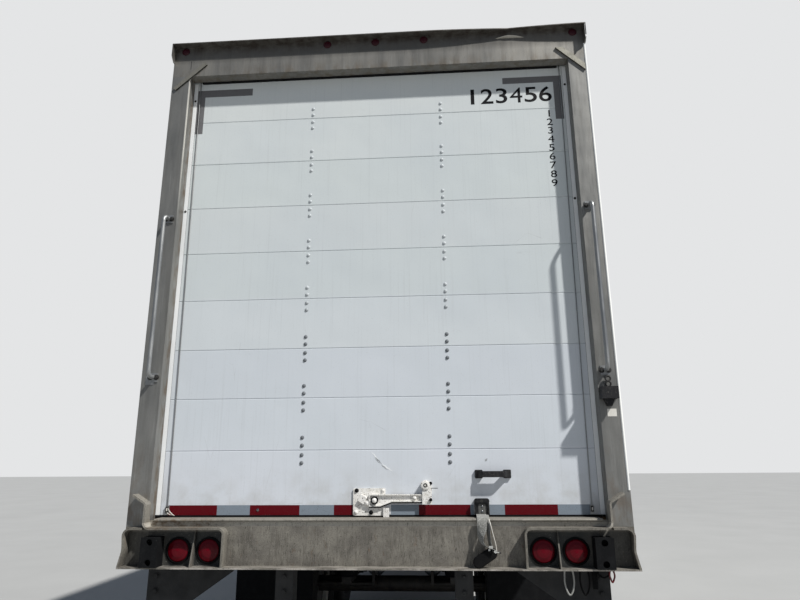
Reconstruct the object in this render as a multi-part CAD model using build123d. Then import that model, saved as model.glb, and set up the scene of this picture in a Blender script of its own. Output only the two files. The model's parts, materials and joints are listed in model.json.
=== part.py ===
from build123d import *
import math
import os

os.makedirs("parts", exist_ok=True)

# A box semi-trailer with an overhead roll-up rear door.
# Millimetres. +X is to the right seen from behind, +Y runs forward to the nose, +Z is up.
# The origin is on the ground under the middle of the whole trailer.
# An inset is measured in from the body's side, a rise up from what carries the piece.

# Whole trailer
trailer_length = 16154.0
body_width = 2591.0
body_height = 4115.0
floor_top = 1247.0
board_thickness = 35.0
beam_depth = 102.0
wall_thickness = 45.0
rail_skin = 8.0
roof_thickness = 60.0
roof_skin_drop = 6.0
nose_corner = 110.0
splice_pitch = 1219.0
splice_width = 76.0
splice_proud = 2.5
fit = 0.3

# Rails along the body
rail_height = 290.0
rail_foot = 45.0
rail_bead = 14.0
rail_bead_proud = 3.0
top_rail_height = 155.0
top_rail_lap = 60.0

# Floor beams
beam_pitch = 304.8
beam_flange = 57.0
beam_plate = 6.0

# Rear frame
post_width = 112.5
post_depth = 120.0
post_return = 82.0
frame_wall = 5.0
header_height = 215.0
header_return = 68.0
header_flange = 47.0
dent_depth = 18.0
dent_start_x = 337.0
dent_deepest_x = 829.0
cheek_drop = 118.0
cheek_slant = 30.0
sill_depth = 234.0
sill_flange = 60.0
flange_thickness = 8.0
lip_radius = 7.0
lip_inset = 38.0
sill_behind_door = 10.0

# Bars across the upper corners of the door opening. Columns: side, how far the lower end lies
# outside and below the corner, how far the upper end lies inside and above it, width, how far proud
corner_bars = (
    ("left", 91.0, 92.0, 101.0, 85.0, 22.0, 10.0),
    ("right", 83.0, 117.0, 100.0, 48.0, 45.0, 25.0),
)

# Roll-up door. The panels share the door's height in these proportions, from the bottom one up
door_recess = 85.0
door_thickness = 25.0
door_lap = 12.0
door_seal_height = 10.0
door_hidden = 14.0
door_panel_shares = (332.0, 281.0, 278.0, 292.0, 291.0, 293.0, 296.0, 294.0, 300.0)
panel_gap = 0.6
panel_edge = 3.0
top_seal_height = 18.0
top_seal_drop = 6.0
top_seal_inset = 54.0
cable_radius = 2.5
cable_stand_off = 6.0
cable_top_inset = 42.0
cable_bottom_inset = 66.0
cable_foot_rise = 53.0
cable_foot_width = 18.0
cable_foot_length = 38.0
cable_hidden_rise = 40.0

# Light boxes
box_depth = 60.0
box_bar = 10.0
box_inner_inset = 538.5
box_divider_inset = 377.5
box_divider_plate = 6.0
box_divider_top = 8.0
box_top_drop = 44.0
box_turn_inset = 123.5
box_turn_rise = 122.0
box_tip_inset = 46.5
box_tip_rise = 165.0
box_outer_inset = 14.5
box_waist_inset = 23.5
box_waist_rise = 79.0
box_inner_bend = 28.0
box_turn_bend = 30.0
box_tip_bend = 15.0
box_outer_bend = 34.0
box_waist_bend = 90.0
lamp_inner_inset = 450.5
lamp_outer_inset = 290.5
lamp_rise = 73.0
lamp_radius = 56.0
lamp_bulge = 14.0
lamp_depth = 14.0
grommet_ring = 10.0
grommet_neck = 5.5
grommet_proud = 9.0
grommet_depth = 16.0
lamp_hole_radius = 62.0
bumper_inset = 122.5
bumper_width = 89.0
bumper_height = 142.0
bumper_proud = 75.0
bumper_bolt_radius = 16.0
bumper_bolt_pitch = 96.0
bumper_bolt_depth = 30.0

# Small marker lamps
header_lamp_inset = 71.5
header_lamp_pitch = 305.0
header_lamp_drop = 32.0
marker_radius = 25.0
marker_bulge = 13.0
oval_length = 100.0
oval_height = 40.0
oval_proud = 12.0
oval_edge = 4.0
side_lamp_rise = 70.0
side_lamp_margin = 300.0
front_lamp_inset = 165.5
front_lamp_pitch = 150.0
front_lamp_drop = 60.0

# Grab rails on the posts, and the small box under the right one
grab_inset = 69.5
grab_radius = 11.0
grab_stand_off = 68.0
grab_bend = 33.0
grab_rise = 738.0
grab_length = 940.0
grab_pad = 50.0
pad_thickness = 6.0
post_box_inset = 24.5
post_box_width = 84.0
post_box_height = 62.0
post_box_proud = 60.0
post_box_rise = 586.0
post_box_foot = 37.0
post_box_foot_proud = 34.0
post_box_foot_slant = 16.0

# Pull handle on the bottom panel
handle_x = 621.0
handle_rise = 213.0
handle_span = 188.0
handle_stand_off = 48.0
handle_bar_height = 31.0
handle_bar_depth = 16.0
handle_leg_inset = 20.0
handle_bend_inset = 41.0
handle_bend = 12.0
handle_pad = 40.0
handle_pad_height = 43.0
handle_pad_depth = 12.0
handle_edge = 5.0

# Door latch. Its places are measured from the pivot
latch_x = -1.0
latch_rise = 84.0
latch_plate_left = 114.0
latch_plate_right = 56.0
latch_plate_up = 60.0
latch_plate_down = 76.0
latch_plate_thickness = 8.0
latch_plate_corner = 6.0
latch_pin_radius = 12.5
latch_ring_radius = 19.5
latch_pin_length = 22.0
lever_reach = 261.0
lever_half = 30.0
lever_taper = 90.0
lever_bar_half = 19.0
lever_depth = 16.0
lever_skin = 5.0
cam_block = 36.0
cam_block_left = 64.0
cam_block_up = 6.0
cam_block_turn = -31.0
cam_block_proud = 14.0
bolt_left = 46.0
bolt_width = 30.0
bolt_thickness = 10.0
bolt_top_drop = 38.0
keeper_reach = 267.5
keeper_up = 75.0
keeper_radius = 25.0
keeper_waist = 33.0
keeper_foot_drop = 20.0
keeper_plate = 5.0
keeper_pin_radius = 11.0
keeper_pin_proud = 4.0

# Pull strap, its bracket and its grip
strap_x = 556.0
strap_width = 62.0
strap_thickness = 3.0
strap_bracket_width = 76.0
strap_bracket_height = 80.0
strap_bracket_proud = 24.0
strap_bracket_rise = 11.0
strap_bracket_corner = 10.0
strap_exit_z = 1262.0
grip_length = 130.0
grip_height = 56.0
grip_thickness = 16.0
grip_lean = 32.6
grip_edge = 5.0

# The strap's route after its exit: distance ahead of the posts, height
strap_route = (
    (36, 1262), (6, 1256), (-26, 1247), (-40, 1206), (-43, 1163), (-40, 1122), (-40, 1084)
)

# Underride guard
guard_tube = 100.0
guard_tube_wall = 6.0
guard_tube_corner = 12.0
guard_clearance = 500.0
guard_inset = 70.5
guard_outer_inset = 179.5
guard_inner_x = 452.0
guard_post = 90.0
guard_post_wall = 8.0
guard_set_forward = 20.0
guard_tube_back = 5.0
gusset_inset = 577.5
gusset_drop = 260.0
gusset_lip = 20.0
gusset_plate = 8.0

# Coupler
kingpin_setback = 914.0
coupler_drop = 62.0
coupler_plate_thickness = 8.0
coupler_length = 1700.0
coupler_width = 1220.0
coupler_ramp = 60.0
coupler_ramp_rise = 30.0
coupler_nose_gap = 40.0
kingpin_base_radius = 36.5
kingpin_base_height = 28.0
kingpin_neck_radius = 25.4
kingpin_neck_height = 35.0
kingpin_head_radius = 35.75
kingpin_head_height = 21.0
coupler_beam_count = 6
coupler_beam_width = 90.0
coupler_beam_setback = 10.0

# Landing gear
landing_from_kingpin = 2700.0
leg_inset = 406.5
leg_outer = 127.0
leg_wall = 6.0
leg_tube_length = 680.0
leg_lap = 200.0
foot_pivot_z = 92.0
foot_size = 254.0
foot_plate = 10.0
foot_turn_up = 35.0
foot_bend = 30.0
foot_pin_radius = 14.0
foot_pin_proud = 30.0
foot_ear = 14.0
foot_ear_half = 45.0
foot_ear_tip = 28.0
foot_ear_gap = 1.0
mount_rail_length = 700.0
mount_rail_width = 170.0
mount_rail_height = 30.0
wing_height = 190.0
wing_half = 190.0
wing_plate = 8.0
cross_shaft_drop = 170.0
cross_shaft_radius = 16.0
gearbox_depth = 70.0
gearbox_width = 150.0
gearbox_height = 230.0
gearbox_corner = 14.0
crank_radius = 10.0
crank_throw = 210.0
crank_grip = 150.0
crank_end_gap = 40.0
crank_bend = 24.0
brace_width = 50.0
brace_thickness = 8.0
brace_low_z = 560.0
brace_end = 60.0
brace_reach = 900.0
side_brace_top_x = 270.0

# Sliding bogie
tandem_from_rear = 3048.0
axle_spread = 1245.0
axle_z = 505.0
slide_forward = 2438.0
body_rail_x = 545.0
body_rail_height = 96.0
body_rail_flange = 62.0
body_rail_plate = 8.0
body_rail_rear_margin = 420.0
body_rail_front_margin = 260.0
lock_hole_pitch = 101.6
lock_hole_radius = 16.0
slide_gap = 0.5
bogie_rail_inner_x = 400.0
bogie_rail_width = 76.0
bogie_rail_drop = 205.0
bogie_front_overhang = 980.0
bogie_rear_overhang = 700.0
cross_tube_offsets = (1480.0, 520.0, -240.0, -1200.0)
cross_tube_height = 120.0
cross_tube_width = 90.0
cross_tube_rise = 20.0
lock_rod_radius = 9.0
lock_rod_ahead = 1350.0
lock_rod_reach = 330.0
lock_rod_grip = 130.0
lock_rod_rise = 40.0

# Suspension. An arm's places are measured from its axle
hanger_ahead = 500.0
hanger_top_half = 95.0
hanger_bottom_half = 60.0
hanger_below_pivot = 60.0
hanger_plate = 10.0
hanger_web_ahead = 66.0
hanger_web_up = 60.0
arm_width = 76.0
arm_pivot_rise = 95.0
arm_pivot_radius = 26.0
arm_eye_half = 45.0
arm_seat_half = 110.0
arm_crown_half = 60.0
arm_depth = 110.0
arm_tail_depth = 45.0
arm_tail_half = 90.0
arm_pin_proud = 22.0
spring_behind = 330.0
spring_radius = 125.0
spring_foot_radius = 78.0
spring_neck_radius = 88.0
spring_top_radius = 105.0
spring_foot_height = 70.0
spring_roll = 30.0
spring_shoulder = 40.0
spring_cap = 8.0
spring_seat_rise = 120.0
shock_radius = 32.0
shock_gap = 8.0
shock_low_ahead = 60.0
shock_low_rise = 85.0
shock_high_ahead = 160.0
shock_high_rise = 35.0
shock_pin_radius = 12.0

# Axles and brakes
axle_radius = 63.5
axle_end_inset = 19.0
spindle_radius = 40.0
spindle_length = 228.0
spider_gap = 12.0
spider_plate = 8.0
spider_clearance = 8.0
chamber_x = 250.0
chamber_radius = 82.0
chamber_edge = 10.0
chamber_length = 165.0
chamber_ahead = 113.0
chamber_rise = 118.0
chamber_bracket = 24.0
cam_behind = 105.0
cam_rise = 15.0
cam_radius = 19.0
slack_width = 22.0
slack_end = 20.0
push_rod_radius = 9.0
tank_radius = 120.0
tank_length = 600.0
tank_drop = 265.0
tank_dome = 45.0
tank_offsets = (860.0, 1150.0)
tank_plate_width = 60.0
tank_plate_height = 20.0
tank_plate_lap = 30.0

# Mud flaps
flap_width = 610.0
flap_height = 640.0
flap_thickness = 10.0
flap_drop = 5.0
flap_gap = 70.0
flap_bar_radius = 16.0
flap_bar_drop = 30.0
flap_lug_width = 40.0
flap_lug_depth = 24.0

# Wheels
wheel_inset = 4.5
dual_spacing = 330.0
tyre_radius = 505.0
tyre_half_width = 142.0
tread_half_width = 112.0
tread_crown = 4.0
tread_flat = 67.0
shoulder_drop = 34.0
shoulder_in = 12.0
wall_bulge_rise = 10.0
wall_tuck_drop = 45.0
wall_tuck_in = 8.0
bead_radius = 287.0
rim_half_width = 112.0
rim_lip_radius = 300.0
rim_lip_thickness = 9.0
rim_ledge = 50.0
rim_well_half = 30.0
rim_well_radius = 262.0
rim_well_thickness = 8.0
rim_skin = 14.0
disc_thickness = 11.0
disc_gap = 0.4
disc_flat_radius = 172.0
disc_bend_radius = 236.0
disc_bend_depth = 60.0
disc_root = 22.0
hand_hole_radius = 28.0
hand_hole_circle = 214.0
hand_hole_count = 10
hub_radius = 109.5
hub_pilot_gap = 0.5
hub_flange = 18.0
hub_flange_inset = 14.0
hub_nose = 150.0
hub_taper = 30.0
hub_cap_radius = 78.0
hub_cap_length = 60.0
hub_cap_edge = 12.0
hub_cap_face = 56.0
drum_radius = 216.0
drum_depth = 200.0
drum_wall = 16.0
drum_crown_radius = 140.0
drum_crown_depth = 58.0
barrel_radius = 90.0
barrel_length = 90.0
spindle_clearance = 10.0
running_gap = 0.3

# Nose fittings
nose_fitting_proud = 50.0
nose_plate_rise = 313.0
nose_plate_width = 420.0
nose_plate_height = 170.0
nose_plate_proud = 6.0
gladhand_x = 135.0
gladhand_radius = 34.0
gladhand_neck_radius = 22.0
gladhand_neck = 18.0
gladhand_edge = 6.0
socket_radius = 36.0
socket_edge = 8.0

# Places worked out from the sizes above
half_width = body_width / 2
rear_y = bumper_proud - (trailer_length + nose_fitting_proud) / 2
nose_y = rear_y - bumper_proud + trailer_length
door_y = rear_y + door_recess
wall_start_y = rear_y + post_depth
sill_front_y = max(door_y + door_thickness + sill_behind_door, wall_start_y)
wall_outer = half_width - rail_skin
wall_inner = wall_outer - wall_thickness
opening_half = half_width - post_width
lip_half = opening_half - lip_inset
floor_under = floor_top - board_thickness
beam_bottom = floor_under - beam_depth
sill_bottom = floor_top - sill_depth
flange_top = sill_bottom + flange_thickness
header_bottom = body_height - header_height
roof_under = body_height - roof_skin_drop - roof_thickness
box_top_z = floor_top - box_top_drop
lamp_z = flange_top + lamp_rise
lamp_places = (half_width - lamp_inner_inset, half_width - lamp_outer_inset)
grab_x = half_width - grab_inset
grab_bottom_z = floor_top + grab_rise
grab_top_z = grab_bottom_z + grab_length
door_bottom = floor_top + door_seal_height
latch_z = floor_top + latch_rise
latch_face_y = door_y - fit - latch_plate_thickness
lever_face_y = latch_face_y - fit - lever_depth
kingpin_y = nose_y - kingpin_setback
coupler_plate_z = floor_under - coupler_drop
landing_y = kingpin_y - landing_from_kingpin
leg_x = half_width - leg_inset
leg_top_z = beam_bottom - mount_rail_height
leg_outer_bottom_z = leg_top_z - leg_tube_length
leg_inner = leg_outer - 2 * leg_wall - 2 * fit
cross_shaft_z = beam_bottom - cross_shaft_drop
tandem_y = rear_y + tandem_from_rear
axle_places = (("front", tandem_y + axle_spread / 2), ("rear", tandem_y - axle_spread / 2))
sides = (("left", -1), ("right", 1))
bogie_rear_y = tandem_y - axle_spread / 2 - bogie_rear_overhang
bogie_front_y = tandem_y + axle_spread / 2 + bogie_front_overhang
bogie_rail_outer_x = bogie_rail_inner_x + bogie_rail_width
bogie_rail_bottom_z = beam_bottom - bogie_rail_drop
arm_x = (bogie_rail_inner_x + bogie_rail_outer_x) / 2
arm_pivot_z = axle_z + arm_pivot_rise
spring_seat_z = axle_z + spring_seat_rise
dual_centre_x = half_width - wheel_inset - tyre_half_width - dual_spacing / 2
axle_half_length = dual_centre_x - axle_end_inset
hub_face_x = dual_centre_x - disc_thickness - disc_gap / 2 - fit
drum_back_x = hub_face_x - hub_flange - drum_depth
spider_x = drum_back_x - spider_gap
flap_y = tandem_y - axle_spread / 2 - tyre_radius - flap_gap
flap_top_z = bogie_rail_bottom_z - flap_drop
nose_plate_z = floor_top + nose_plate_rise


def rect(a0, a1, b0, b1):
    """A rectangle between two corners of a sketch."""
    return Pos((a0 + a1) / 2, (b0 + b1) / 2) * Rectangle(abs(a1 - a0), abs(b1 - b0))


def outline(*points):
    """A closed straight-sided sketch through the points."""
    return make_face(Polyline(*points, close=True))


def along_x(sketch, x0, x1):
    """A sketch in Y and Z, carried from the lower X to the higher."""
    return extrude(Plane.YZ.offset(x0) * sketch, amount=x1 - x0)


def along_y(sketch, y0, y1):
    """A sketch in X and Z, carried from the lower Y to the higher."""
    return extrude(Plane.XZ.offset(-y1) * sketch, amount=y1 - y0)


def along_z(sketch, z0, z1):
    """A sketch in X and Y, carried from the lower Z to the higher."""
    return extrude(Plane.XY.offset(z0) * sketch, amount=z1 - z0)


def block(x0, x1, y0, y1, z0, z1):
    """A box between two corners."""
    return along_z(rect(x0, x1, y0, y1), z0, z1)


def rod(start, end, radius):
    """A round bar from one point to another."""
    axis = Vector(*end) - Vector(*start)
    return extrude(Plane(origin=start, z_dir=axis) * Circle(radius), amount=axis.length)


def turned_x(profile, y, z):
    """A profile of (X, radius) points turned about an axis along X at one Y and Z."""
    return Pos(0, y, z) * revolve(outline(*profile), axis=Axis.X)


def turned_y(profile, x, z):
    """A profile of (radius, Y) points turned about an axis along Y at one X and Z."""
    return Pos(x, 0, z) * revolve(outline(*profile), axis=Axis.Y)


def turned_z(profile, x, y):
    """A profile of (radius, Z) points turned about an upright axis at one X and Y."""
    return Pos(x, y, 0) * revolve(Plane.XZ * outline(*profile), axis=Axis.Z)


def bend_radii(points):
    """The largest radius that the two runs beside each corner of a route allow."""
    radii = []
    for before, corner, after in zip(points, points[1:], points[2:]):
        first = Vector(*corner) - Vector(*before)
        second = Vector(*after) - Vector(*corner)
        half_turn = math.radians(first.get_angle(second)) / 2
        radii.append(0.45 * min(first.length, second.length) / math.tan(half_turn))
    print("bend radii", [round(radius) for radius in radii])
    return radii


def mirrored(piece):
    """The same piece on the other side of the centre plane."""
    return mirror(piece, about=Plane.YZ)


def on_side(piece, sign):
    """A piece made for the right side, placed on the side of the sign."""
    return piece if sign > 0 else mirrored(piece)


def both(piece):
    """A right-hand piece and its mirror image."""
    return [piece, mirrored(piece)]


def write(name, *pieces):
    """One node: its solids side by side in one file."""
    solids = [solid for piece in pieces for solid in piece.solids()]
    export_step(solids[0] if len(solids) == 1 else Compound(children=solids), f"parts/{name}.step")


# Body shell


def side_wall():
    """Right wall: one full-length panel, with a splice strip outside over every panel joint."""
    y0 = wall_start_y
    y1 = nose_y - nose_corner
    wall = block(wall_inner, wall_outer, y0, y1, floor_under, roof_under)
    strips = rect(wall_inner, wall_outer, y0, y0 + splice_width)
    for i in range(1, int((y1 - y0 - splice_width) // splice_pitch) + 1):
        y = y0 + splice_pitch * i
        strips += rect(wall_inner, wall_outer + splice_proud, y - splice_width / 2, y + splice_width / 2)
    low = beam_bottom + rail_height + fit
    high = body_height - top_rail_height - fit
    return wall + along_z(strips, low, high)


def front_wall():
    """Nose wall between the corner posts."""
    x = half_width - nose_corner
    return block(-x, x, nose_y - rail_skin - wall_thickness, nose_y - rail_skin, floor_under, roof_under)


def nose_corner_post():
    """Right nose post: a quarter-round extrusion."""
    outer = nose_corner - rail_skin
    inner = outer - wall_thickness
    centre = (half_width - nose_corner, nose_y - nose_corner)
    quarter = (Circle(outer) - Circle(inner)) & rect(0, outer, 0, outer)
    return along_z(Pos(*centre) * quarter, floor_under, roof_under)


def rounded_plan(inset):
    """The body's plan from the rear frame to the nose, drawn in by an inset."""
    x = half_width - inset
    plan = rect(-x, x, wall_start_y, nose_y - inset)
    return fillet(plan.vertices().group_by(Axis.Y)[-1], nose_corner - inset)


def roof():
    """Roof skin and bows as one closed panel, rounded at the nose."""
    return along_z(rounded_plan(rail_skin), roof_under, body_height - roof_skin_drop)


def floor():
    """Hardwood floor between the walls, from the rear sill to the nose."""
    plan = rounded_plan(rail_skin + wall_thickness)
    plan -= rect(-half_width, half_width, wall_start_y - fit, sill_front_y)
    return along_z(plan, floor_under, floor_top)


def bottom_rail():
    """Right bottom rail: a tall outside face with a bead along each edge and a foot under the beams."""
    low = beam_bottom - beam_plate
    high = beam_bottom + rail_height
    section = rect(wall_outer, half_width - rail_bead_proud, low, high)
    section += rect(wall_outer, half_width, low, low + rail_bead)
    section += rect(wall_outer, half_width, high - rail_bead, high)
    section += rect(wall_outer - rail_foot, wall_outer, low, beam_bottom)
    return along_y(section, wall_start_y, nose_y - nose_corner)


def top_rail():
    """Right top rail: an outside face with a bead, turned in over the edge of the roof."""
    high = body_height
    low = high - top_rail_height
    section = rect(wall_outer, half_width, low, high)
    section += rect(half_width - top_rail_lap, half_width, high - roof_skin_drop, high)
    corner = section.vertices().sort_by(Axis.X)[-2:].sort_by(Axis.Y)[-1]
    section = fillet(corner, roof_skin_drop)
    groove = rect(half_width - rail_bead_proud, half_width, low + rail_bead, high - 2 * rail_bead)
    return along_y(section - groove, wall_start_y, nose_y - nose_corner)


def nose_rail(z0, z1):
    """A rail that follows the nose wall and both corner posts."""
    plan = rounded_plan(0) - rounded_plan(rail_skin)
    keep = rect(-half_width, half_width, nose_y - nose_corner, nose_y)
    return along_z(plan & keep, z0, z1)


def floor_beams():
    """I-beams across the trailer from the rear frame to the coupler."""
    start = wall_start_y + beam_pitch / 2
    end = nose_y - coupler_nose_gap - coupler_length - beam_flange
    section = rect(-beam_plate / 2, beam_plate / 2, beam_bottom, floor_under)
    section += rect(-beam_flange / 2, beam_flange / 2, beam_bottom, beam_bottom + beam_plate)
    section += rect(-beam_flange / 2, beam_flange / 2, floor_under - beam_plate, floor_under)
    count = int((end - start) // beam_pitch) + 1
    places = [Pos(start + beam_pitch * i, 0) for i in range(count)]
    return [along_x(place * section, -wall_outer, wall_outer) for place in places]


# Rear frame


def rear_post():
    """Right rear post: a folded channel open to the front, with the door running behind its return."""
    plan = rect(opening_half, half_width, 0, post_depth)
    plan -= rect(opening_half + frame_wall, half_width - frame_wall, frame_wall, post_depth)
    plan -= rect(opening_half, opening_half + frame_wall, post_return, post_depth)
    return along_z(Pos(0, rear_y) * plan, box_top_z + box_bar / 2 + fit, header_bottom)


def header():
    """Top cross piece: face, return towards the door, end cheeks, and a dented flange over the face."""
    face = block(-half_width, half_width, rear_y, rear_y + frame_wall, header_bottom, body_height)
    under = block(
        -opening_half, opening_half,
        rear_y, rear_y + header_return,
        header_bottom, header_bottom + frame_wall,
    )
    edge = -header_flange
    low = edge + dent_depth
    shallow = edge + dent_depth / 3
    back = Polyline(
        (half_width, edge),
        (half_width, post_depth),
        (-half_width, post_depth),
        (-half_width, edge),
        (dent_start_x, edge),
    )
    start = (dent_start_x, edge)
    deepest = (dent_deepest_x, low)
    end = (half_width, edge)
    dent = ThreePointArc(start, ((dent_start_x + dent_deepest_x) / 2, shallow), deepest)
    rise = ThreePointArc(deepest, ((dent_deepest_x + half_width) / 2, shallow), end)
    plan = make_face([*back.edges(), dent, rise])
    flange = along_z(Pos(0, rear_y) * plan, body_height - roof_skin_drop, body_height)
    drop = body_height - cheek_drop
    cheek = outline(
        (edge, body_height),
        (edge, drop + cheek_slant),
        (edge + cheek_slant, drop),
        (0, drop),
        (0, header_bottom),
        (post_depth, header_bottom),
        (post_depth, body_height),
    )
    cheek = along_x(Pos(rear_y, 0) * cheek, half_width - roof_skin_drop, half_width)
    return face + under + flange + cheek + mirrored(cheek)


def corner_bar(side, outside, below, inside, above, width, proud):
    """A flat bar across one upper corner of the door opening."""
    start = Vector(opening_half + outside, header_bottom - below)
    end = Vector(opening_half - inside, header_bottom + above)
    middle = (start + end) * 0.5
    angle = math.degrees(math.atan2(end.Y - start.Y, end.X - start.X))
    sketch = Pos(middle.X, middle.Y) * Rot(0, 0, angle) * Rectangle((end - start).length, width)
    bar = along_y(sketch, rear_y - proud, rear_y - fit)
    return on_side(bar, dict(sides)[side])


def rear_sill():
    """Bottom cross piece: rounded lip, web with lamp holes, and a flange standing out to the rear."""
    y = rear_y
    web = block(-opening_half, opening_half, y, y + frame_wall, sill_bottom, floor_top - lip_radius)
    low_web = block(-half_width, half_width, y, y + frame_wall, sill_bottom, box_top_z + box_bar / 2)
    flange = block(-half_width, half_width, y - sill_flange, wall_start_y, sill_bottom, flange_top)
    lip = along_x(Pos(y - lip_radius, floor_top - lip_radius) * Circle(lip_radius), -lip_half, lip_half)
    neck_bottom = floor_top - 2 * lip_radius
    neck = block(-lip_half, lip_half, y - lip_radius, y, neck_bottom, floor_top - frame_wall)
    tread = block(-lip_half, lip_half, y - lip_radius, sill_front_y, floor_top - frame_wall, floor_top)
    back = block(-lip_half, lip_half, sill_front_y - frame_wall, sill_front_y, sill_bottom, floor_top)
    body = web + low_web + flange + lip + neck + tread + back
    for x in lamp_places:
        hole = rod((x, y - fit, lamp_z), (x, y + frame_wall + fit, lamp_z), lamp_hole_radius)
        body = body - hole - mirrored(hole)
    return body


def light_box():
    """Right light box: a flat bar bent round the lamps and turned up on the post, and its divider."""
    turn_x = half_width - box_turn_inset
    inner = FilletPolyline(
        (half_width - box_inner_inset, flange_top),
        (half_width - box_inner_inset, box_top_z),
        (turn_x + box_bar / 2, box_top_z),
        (turn_x + box_bar / 2, box_top_z + box_turn_rise),
        (half_width - box_tip_inset, box_top_z + box_tip_rise),
        radius=[box_inner_bend, box_turn_bend, box_tip_bend],
    )
    outer = FilletPolyline(
        (turn_x + box_bar, box_top_z),
        (half_width - box_outer_inset, box_top_z),
        (half_width - box_waist_inset, flange_top + box_waist_rise),
        (half_width - box_bar / 2, flange_top),
        radius=[box_outer_bend, box_waist_bend],
    )
    bars = trace(inner, line_width=box_bar) + trace(outer, line_width=box_bar)
    bars &= rect(0, body_width, flange_top, body_height)
    body = along_y(bars, rear_y - box_depth, rear_y)
    top = box_top_z - box_bar / 2
    gusset = outline(
        (rear_y, flange_top),
        (rear_y - box_depth, flange_top),
        (rear_y - box_divider_top, top),
        (rear_y, top),
    )
    x = half_width - box_divider_inset
    return body + along_x(gusset, x - box_divider_plate / 2, x + box_divider_plate / 2)


def tail_lamp(x):
    """A round red lamp: a domed lens."""
    r = lamp_radius - fit
    profile = (
        (0, rear_y + lamp_depth),
        (0, rear_y - lamp_bulge),
        (0.55 * r, rear_y - 0.8 * lamp_bulge),
        (0.9 * r, rear_y - 0.45 * lamp_bulge),
        (r, rear_y - 0.15 * lamp_bulge),
        (r, rear_y + lamp_depth),
    )
    return turned_y(profile, x, lamp_z)


def grommet(x):
    """The rubber ring that holds a lamp in the web."""
    rim = lamp_radius + grommet_ring
    neck = lamp_radius + grommet_neck
    profile = (
        (lamp_radius, rear_y - grommet_proud),
        (rim, rear_y - grommet_proud / 2),
        (rim, rear_y - fit),
        (neck, rear_y - fit),
        (neck, rear_y + grommet_depth),
        (lamp_radius, rear_y + grommet_depth),
    )
    return turned_y(profile, x, lamp_z)


def dock_bumper():
    """Rubber block in the outer end of the light box, with two sunk bolt holes."""
    x1 = half_width - bumper_inset
    x0 = x1 - bumper_width
    z0 = flange_top + fit
    face = rear_y - bumper_proud
    body = block(x0, x1, face, rear_y - fit, z0, z0 + bumper_height)
    for offset in (-bumper_bolt_pitch / 2, bumper_bolt_pitch / 2):
        z = z0 + bumper_height / 2 + offset
        x = (x0 + x1) / 2
        body -= rod((x, face, z), (x, face + bumper_bolt_depth, z), bumper_bolt_radius)
    return body


def header_lamp(x):
    """A small round marker lamp on the header's face."""
    profile = (
        (0, rear_y - fit),
        (0, rear_y - marker_bulge),
        (0.7 * marker_radius, rear_y - 0.7 * marker_bulge),
        (marker_radius, rear_y - 0.25 * marker_bulge),
        (marker_radius, rear_y - fit),
    )
    return turned_y(profile, x, body_height - header_lamp_drop)


def grab_rail():
    """Right grab rail: a round bar bent back to a pad at each end."""
    pad_y = rear_y - pad_thickness
    bar_y = rear_y - grab_stand_off
    corners = (
        (grab_x, pad_y, grab_top_z),
        (grab_x, bar_y, grab_top_z),
        (grab_x, bar_y, grab_bottom_z),
        (grab_x, pad_y, grab_bottom_z),
    )
    path = FilletPolyline(*corners, radius=grab_bend)
    start = Plane(origin=corners[0], x_dir=(1, 0, 0), z_dir=(0, -1, 0))
    bar = sweep(start * Circle(grab_radius), path=path)
    half = grab_pad / 2
    for z in (grab_bottom_z, grab_top_z):
        bar += block(grab_x - half, grab_x + half, pad_y, rear_y - fit, z - half, z + half)
    return bar


def post_box():
    """The small closed box on the right post, over a foot with sloped sides."""
    x1 = half_width - post_box_inset
    x0 = x1 - post_box_width
    z0 = floor_top + post_box_rise
    body = block(x0, x1, rear_y - post_box_proud, rear_y - fit, z0, z0 + post_box_height)
    s = post_box_foot_slant
    low = z0 - post_box_foot
    foot = outline((x0 + s, z0), (x1 - s, z0), (x1 - 2 * s, low), (x0 + 2 * s, low))
    return body + along_y(foot, rear_y - post_box_foot_proud, rear_y - fit)


# Door


def door_panels():
    """The panels of the roll-up door, from the bottom one up."""
    half = opening_half + door_lap
    scale = (header_bottom + door_hidden - door_bottom) / sum(door_panel_shares)
    z = door_bottom
    panels = []
    for share in door_panel_shares:
        height = share * scale
        sketch = rect(door_y, door_y + door_thickness, z, z + height - panel_gap)
        rear_corners = sketch.vertices().group_by(Axis.X)[0]
        panels.append(along_x(chamfer(rear_corners, panel_edge), -half, half))
        z += height
    return panels


def door_seal():
    """The rubber strip under the bottom panel."""
    half = opening_half + door_lap
    return block(-half, half, door_y + fit, door_y + door_thickness, floor_top + fit, door_bottom - fit)


def top_seal():
    """The rubber strip between the header's return and the top panel."""
    y0 = rear_y + header_return + fit
    z0 = header_bottom - top_seal_drop
    half = opening_half - top_seal_inset
    return block(-half, half, y0, door_y - fit, z0, z0 + top_seal_height)


def door_cable():
    """The right lift cable, from its foot on the bottom panel up behind the header."""
    y = door_y - cable_stand_off
    low_x = opening_half - cable_bottom_inset
    low_z = floor_top + cable_foot_rise
    slope = (cable_bottom_inset - cable_top_inset) / (header_bottom - low_z)
    top_z = header_bottom + cable_hidden_rise
    cable = rod((low_x, y, low_z), (low_x + slope * (top_z - low_z), y, top_z), cable_radius)
    half = cable_foot_width / 2
    foot = block(
        low_x - half, low_x + half,
        y - cable_stand_off, door_y - fit,
        low_z + cable_stand_off - cable_foot_length, low_z + cable_stand_off,
    )
    return cable + foot


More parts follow.
